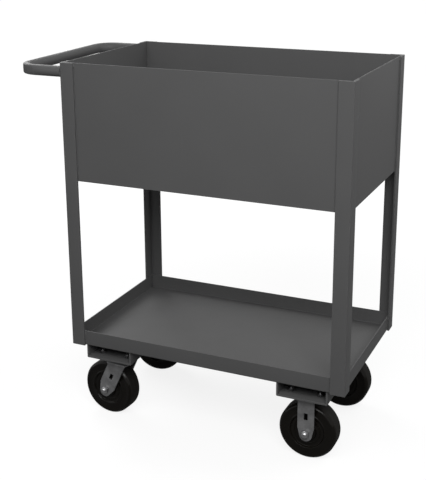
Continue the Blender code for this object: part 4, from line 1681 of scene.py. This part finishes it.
@dataclass
class TopPlate(Assembly):
    """The flat plate of a caster, with a slot for each of its bolts."""

    half_x: float = 0.05715
    half_y: float = 0.0508
    corner: float = 0.0080
    bolt_offset: float = 0.0381
    slot_radius: float = 0.0058
    slot_travel: float = 0.0045
    edge: float = 0.0006

    def middle(self) -> Shell:
        """Builds the surface halfway through the plate.

        Each quarter is a band between its slot and its own outline. A point of the slot is the one
        nearest to its partner on the outline: the nearest point of the slot's centre line plus the
        slot's radius towards the partner.

        Returns:
            An open shell around the plate's middle.
        """
        x, y = self.half_x, self.half_y
        outline = rounded_path([(0, 0, 0), (x, 0, 0), (x, y, self.corner), (0, y, 0)], steps=10)
        outline = refined(np.vstack([outline, outline[:1]]), 0.0035)[:-1]
        start = np.array([self.bolt_offset, self.bolt_offset])
        travel = self.slot_travel * unit(np.array([1.0, -1.0]))
        share = np.clip(((outline - start) @ travel) / (travel @ travel), 0, 1)
        spine = start + share[:, None] * travel
        patch = ring_patch(spine + self.slot_radius * unit(outline - spine), outline, 5)
        quarter = np.concatenate([patch, np.zeros((*patch.shape[:2], 1))], axis=-1)
        signs = ((1, 1, 1), (-1, 1, 1), (1, -1, 1), (-1, -1, 1))
        return Shell.joined(Shell.of_grid(quarter * sign, wrap_columns=True) for sign in signs)

    def build(self, name: str, node: str, x: float, y: float) -> None:
        """Builds the plate at a caster's place.

        Args:
            name: The piece's name.
            node: The solid that it stands for.
            x: The caster's X.
            y: The caster's Y.
        """
        height = (SIZES.plate_underside + SIZES.plate_top) / 2
        shell = self.middle().placed(Matrix.Translation((x, y, height)))
        wall = SIZES.plate_top - SIZES.plate_underside
        self.add_plated(name, shell, "cart_body", node, wall=wall, edge=self.edge)


@dataclass
class Casters(Assembly):
    """Two rigid casters at the front and two swivel casters under the handle."""

    wheel: Wheel
    plate: TopPlate
    lead: float = 0.0345
    rest_angles: tuple[tuple[Side, float], ...] = ((Side.RIGHT, -5.0), (Side.LEFT, 6.0))
    crown_top: float = 0.1632
    crown_x: float = 0.0040
    shelf: float = 0.0367
    rigid_leg: float = 0.0435
    edge: float = 0.0007
    race_bore: float = 0.0086
    race_roof: float = 0.0290
    race_radius: float = 0.0338
    skirt_inner: float = 0.0312
    skirt_gap: float = 0.0010
    race_gap: float = 0.0110
    track_bore: float = 0.0120
    track_radius: float = 0.0303
    track_height: float = 0.0034
    race_sides: int = 96

    def build(self) -> None:
        """Builds all four casters."""
        for side in Side:
            self.build_rigid(side)
        for side, degrees in self.rest_angles:
            self.build_swivel(side, np.radians(degrees))
        self.dress_bearings()

    def add_fork(self, name: str, shape: ForkShape, place: Matrix, body: str, node: str) -> None:
        """Adds a fork that stands at a place."""
        shell = shape.middle().placed(place)
        self.add_plated(name, shell, body, node, wall=shape.thickness, edge=self.edge)

    def build_rigid(self, side: Side) -> None:
        """Builds one rigid caster.

        Args:
            side: The caster's side of the cart.
        """
        x, y = SIZES.rigid_x, side.sign * SIZES.caster_y
        crown_top = SIZES.plate_underside - SIZES.fit_gap
        self.plate.build(f"rigid_top_plate_{side.label}", f"rigid_plate_{side.label}", x, y)
        shape = ForkShape((0.0, SIZES.wheel_radius), (0.0, crown_top), crown_top, leg_width=self.rigid_leg)
        place = Matrix.Translation((x, y, 0))
        self.add_fork(f"rigid_horn_{side.label}", shape, place, "cart_body", f"rigid_fork_{side.label}")
        centre, axle = Vector((x, y, SIZES.wheel_radius)), Vector((0, side.sign, 0))
        self.wheel.build(f"front_{side.label}", centre, axle, "cart_body")

    def build_swivel(self, side: Side, angle: float) -> None:
        """Builds one swivel caster, turned to its resting angle.

        Args:
            side: The caster's side of the cart.
            angle: The resting angle about the kingpin, in radians.
        """
        x, y = SIZES.swivel_x, side.sign * SIZES.caster_y
        body = f"turntable_{side.label}"
        self.plate.build(f"swivel_top_plate_{side.label}", f"swivel_plate_{side.label}", x, y)
        place = Matrix.Translation((x, y, 0)) @ Matrix.Rotation(angle, 4, "Z")
        crown = (self.crown_x, self.crown_top - ForkShape.thickness)
        shape = ForkShape((-self.lead, SIZES.wheel_radius), crown, self.crown_top, self.shelf)
        self.add_fork(f"swivel_horn_{side.label}", shape, place, body, f"swivel_fork_{side.label}")
        self.build_raceway(side, place, body)
        centre = place @ Vector((-self.lead, 0, SIZES.wheel_radius))
        axle = place.to_3x3() @ Vector((0, side.sign, 0))
        self.wheel.build(f"rear_{side.label}", centre, axle, body)

    def build_raceway(self, side: Side, place: Matrix, body: str) -> None:
        """Builds the upper race with its skirt and the lower track on the crown.

        Args:
            side: The caster's side of the cart.
            place: Where the caster stands.
            body: The body that the track rides on.
        """
        top, under = SIZES.plate_underside - SIZES.fit_gap, self.crown_top + self.race_gap
        skirt = self.crown_top + self.skirt_gap
        race = [
            (self.race_bore, top, 0.0004),
            (self.race_roof, top, 0.0008),
            (self.race_radius, top - 0.0016, 0.0018),
            (self.race_radius, skirt, 0.0007),
            (self.skirt_inner, skirt, 0.0004),
            (self.skirt_inner, under, 0.0008),
            (self.race_bore, under, 0.0004),
        ]
        shell = turned(rounded_path(race, steps=5), self.race_sides).placed(place)
        self.add_plated(f"swivel_upper_race_{side.label}", shell, "cart_body", f"swivel_race_{side.label}")
        low, high = self.crown_top, self.crown_top + self.track_height
        track = [
            (self.track_bore, low, 0),
            (self.track_radius, low, 0),
            (self.track_radius, high, 0.0006),
            (self.track_bore, high, 0.0004),
        ]
        shell = turned(rounded_path(track, steps=4), self.race_sides).placed(place)
        self.add_plated(f"swivel_lower_track_{side.label}", shell, body)

    def dress_bearings(self) -> None:
        """Gives the solids inside the hubs and swivels their steel finishes."""
        bearing = ("roller_bearing_", "spanner_bushing_", "swivel_balls_")
        for item in bpy.data.objects:
            name = item.get("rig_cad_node", "")
            if name.startswith(bearing):
                item.data.materials[0] = self.finishes.bearing
            elif name.startswith("kingpin_"):
                item.data.materials[0] = self.finishes.zinc


# Studio


@dataclass(frozen=True)
class Lamp:
    """A square soft lamp: its name, place, side and power in watts."""

    name: str
    spot: tuple[float, float, float]
    size: float
    power: float
    aim_height: float = 0.5

    def build(self) -> None:
        """Hangs the lamp so that it faces the cart."""
        data = bpy.data.lights.new(self.name, "AREA")
        data.size = self.size
        data.energy = self.power
        lamp = new_object(self.name, data)
        aim = Vector((SIZES.centre_x, 0, self.aim_height)) - Vector(self.spot)
        lamp.rotation_euler = aim.to_track_quat("-Z", "Y").to_euler()
        lamp.location = self.spot


@dataclass
class Studio:
    """The pale floor, the soft lamps, the white background and the camera.

    The floor glows by its near glow beneath the cart and by its gain more at the far end of its
    fade. Its shine is the share of the glow that smooth faces mirror.
    """

    floor_half: float = 30.0
    floor_tone: float = 0.16
    floor_shine: float = 0.12
    near_glow: float = 0.85
    glow_gain: float = 0.13
    glow_fade: tuple[float, float] = (0.7, 2.6)
    ambient: float = 0.20
    lens_px: float = 966.9
    image_height: float = 480.0
    azimuth: float = 24.39
    elevation: float = 15.49
    roll: float = -0.35
    camera_place: tuple[float, float, float] = (1.0336, -2.2612, 1.3378)
    shift: float = 0.12
    lamps: tuple[Lamp, ...] = (
        Lamp("key_lamp", (1.20, -1.95, 2.15), 1.4, 52),
        Lamp("fill_lamp", (-0.32, -2.22, 2.15), 1.4, 25),
        Lamp("end_lamp", (1.30, 0.40, 1.50), 0.9, 10),
        Lamp("rear_lamp", (-1.85, 1.20, 1.95), 1.4, 36),
    )

    def build_camera(self) -> None:
        """Makes the camera of the photo's view.

        The camera stands where the photo's stood. Its axis points back from the cart at the azimuth
        and elevation, and the picture is turned about that axis by the roll.
        """
        az, el, roll = np.radians([self.azimuth, self.elevation, self.roll])
        back = np.array([np.sin(az) * np.cos(el), -np.cos(az) * np.cos(el), np.sin(el)])
        level = np.array([np.cos(az), np.sin(az), 0.0])
        up = np.cross(back, level)
        right, top = level * np.cos(roll) + up * np.sin(roll), up * np.cos(roll) - level * np.sin(roll)
        data = bpy.data.cameras.new("photo_camera")
        data.lens = self.lens_px / self.image_height * data.sensor_width
        data.shift_y = -self.shift
        camera = new_object("photo_camera", data)
        turn = Matrix(np.column_stack([right, top, back]).tolist()).to_4x4()
        camera.matrix_world = Matrix.Translation(self.camera_place) @ turn
        bpy.context.scene.camera = camera

    def build_world(self) -> None:
        """Lights the cart from all round, and shows white to the camera and in reflections."""
        world = bpy.data.worlds.new("studio_world")
        world.use_nodes = True
        bpy.context.scene.world = world
        tree = SignalTree(world.node_tree)
        sky = tree.nodes["Background"].inputs
        sky["Color"].default_value = (1, 1, 1, 1)
        camera, glossy, clear = tree.rays("Camera", "Glossy", "Transmission")
        seen = tree.math("MAXIMUM", tree.math("MAXIMUM", camera, glossy), clear)
        tree.feed(sky["Strength"], self.ambient + seen * (1 - self.ambient))

    def build_floor(self) -> None:
        """Lays a pale floor that glows to the camera, less under the cart, so that only the shadow shows."""
        half = self.floor_half
        corners = [(-half, -half, 0), (half, -half, 0), (half, half, 0), (-half, half, 0)]
        mesh = bpy.data.meshes.new("studio_floor")
        mesh.from_pydata(corners, [], [(0, 1, 2, 3)])
        tree = FinishTree("floor_white")
        shader = tree.shader.inputs
        shader["Base Color"].default_value = (self.floor_tone, self.floor_tone, self.floor_tone, 1)
        shader["Roughness"].default_value = 0.9
        shader["Specular IOR Level"].default_value = 0.0
        shader["Emission Color"].default_value = (1, 1, 1, 1)
        camera, glossy = tree.rays("Camera", "Glossy")
        away = tree.node("ShaderNodeVectorMath", {"operation": "LENGTH"}, {0: tree.place()}, "Value")
        glow = self.near_glow + away.step(*self.glow_fade) * self.glow_gain
        tree.feed(shader["Emission Strength"], (camera + glossy * self.floor_shine) * glow)
        mesh.materials.append(tree.material)
        floor = new_object("studio_floor", mesh)

    def build(self) -> None:
        """Builds the whole studio."""
        self.build_camera()
        self.build_world()
        self.build_floor()
        for lamp in self.lamps:
            lamp.build()
        bpy.context.scene.view_settings.view_transform = "Standard"


def main() -> None:
    """Builds every sub-assembly in order."""
    logging.basicConfig(level=logging.INFO, format="%(name)s: %(message)s")
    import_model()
    finishes = FinishSet.made()
    Studio().build()
    for assembly in (CornerPosts, UpperBox, LowerTray, CasterChannels, PushHandle, PlateBolts):
        assembly(finishes).build()
    Casters(finishes, Wheel(finishes), TopPlate(finishes)).build()


if __name__ == "__main__":
    main()
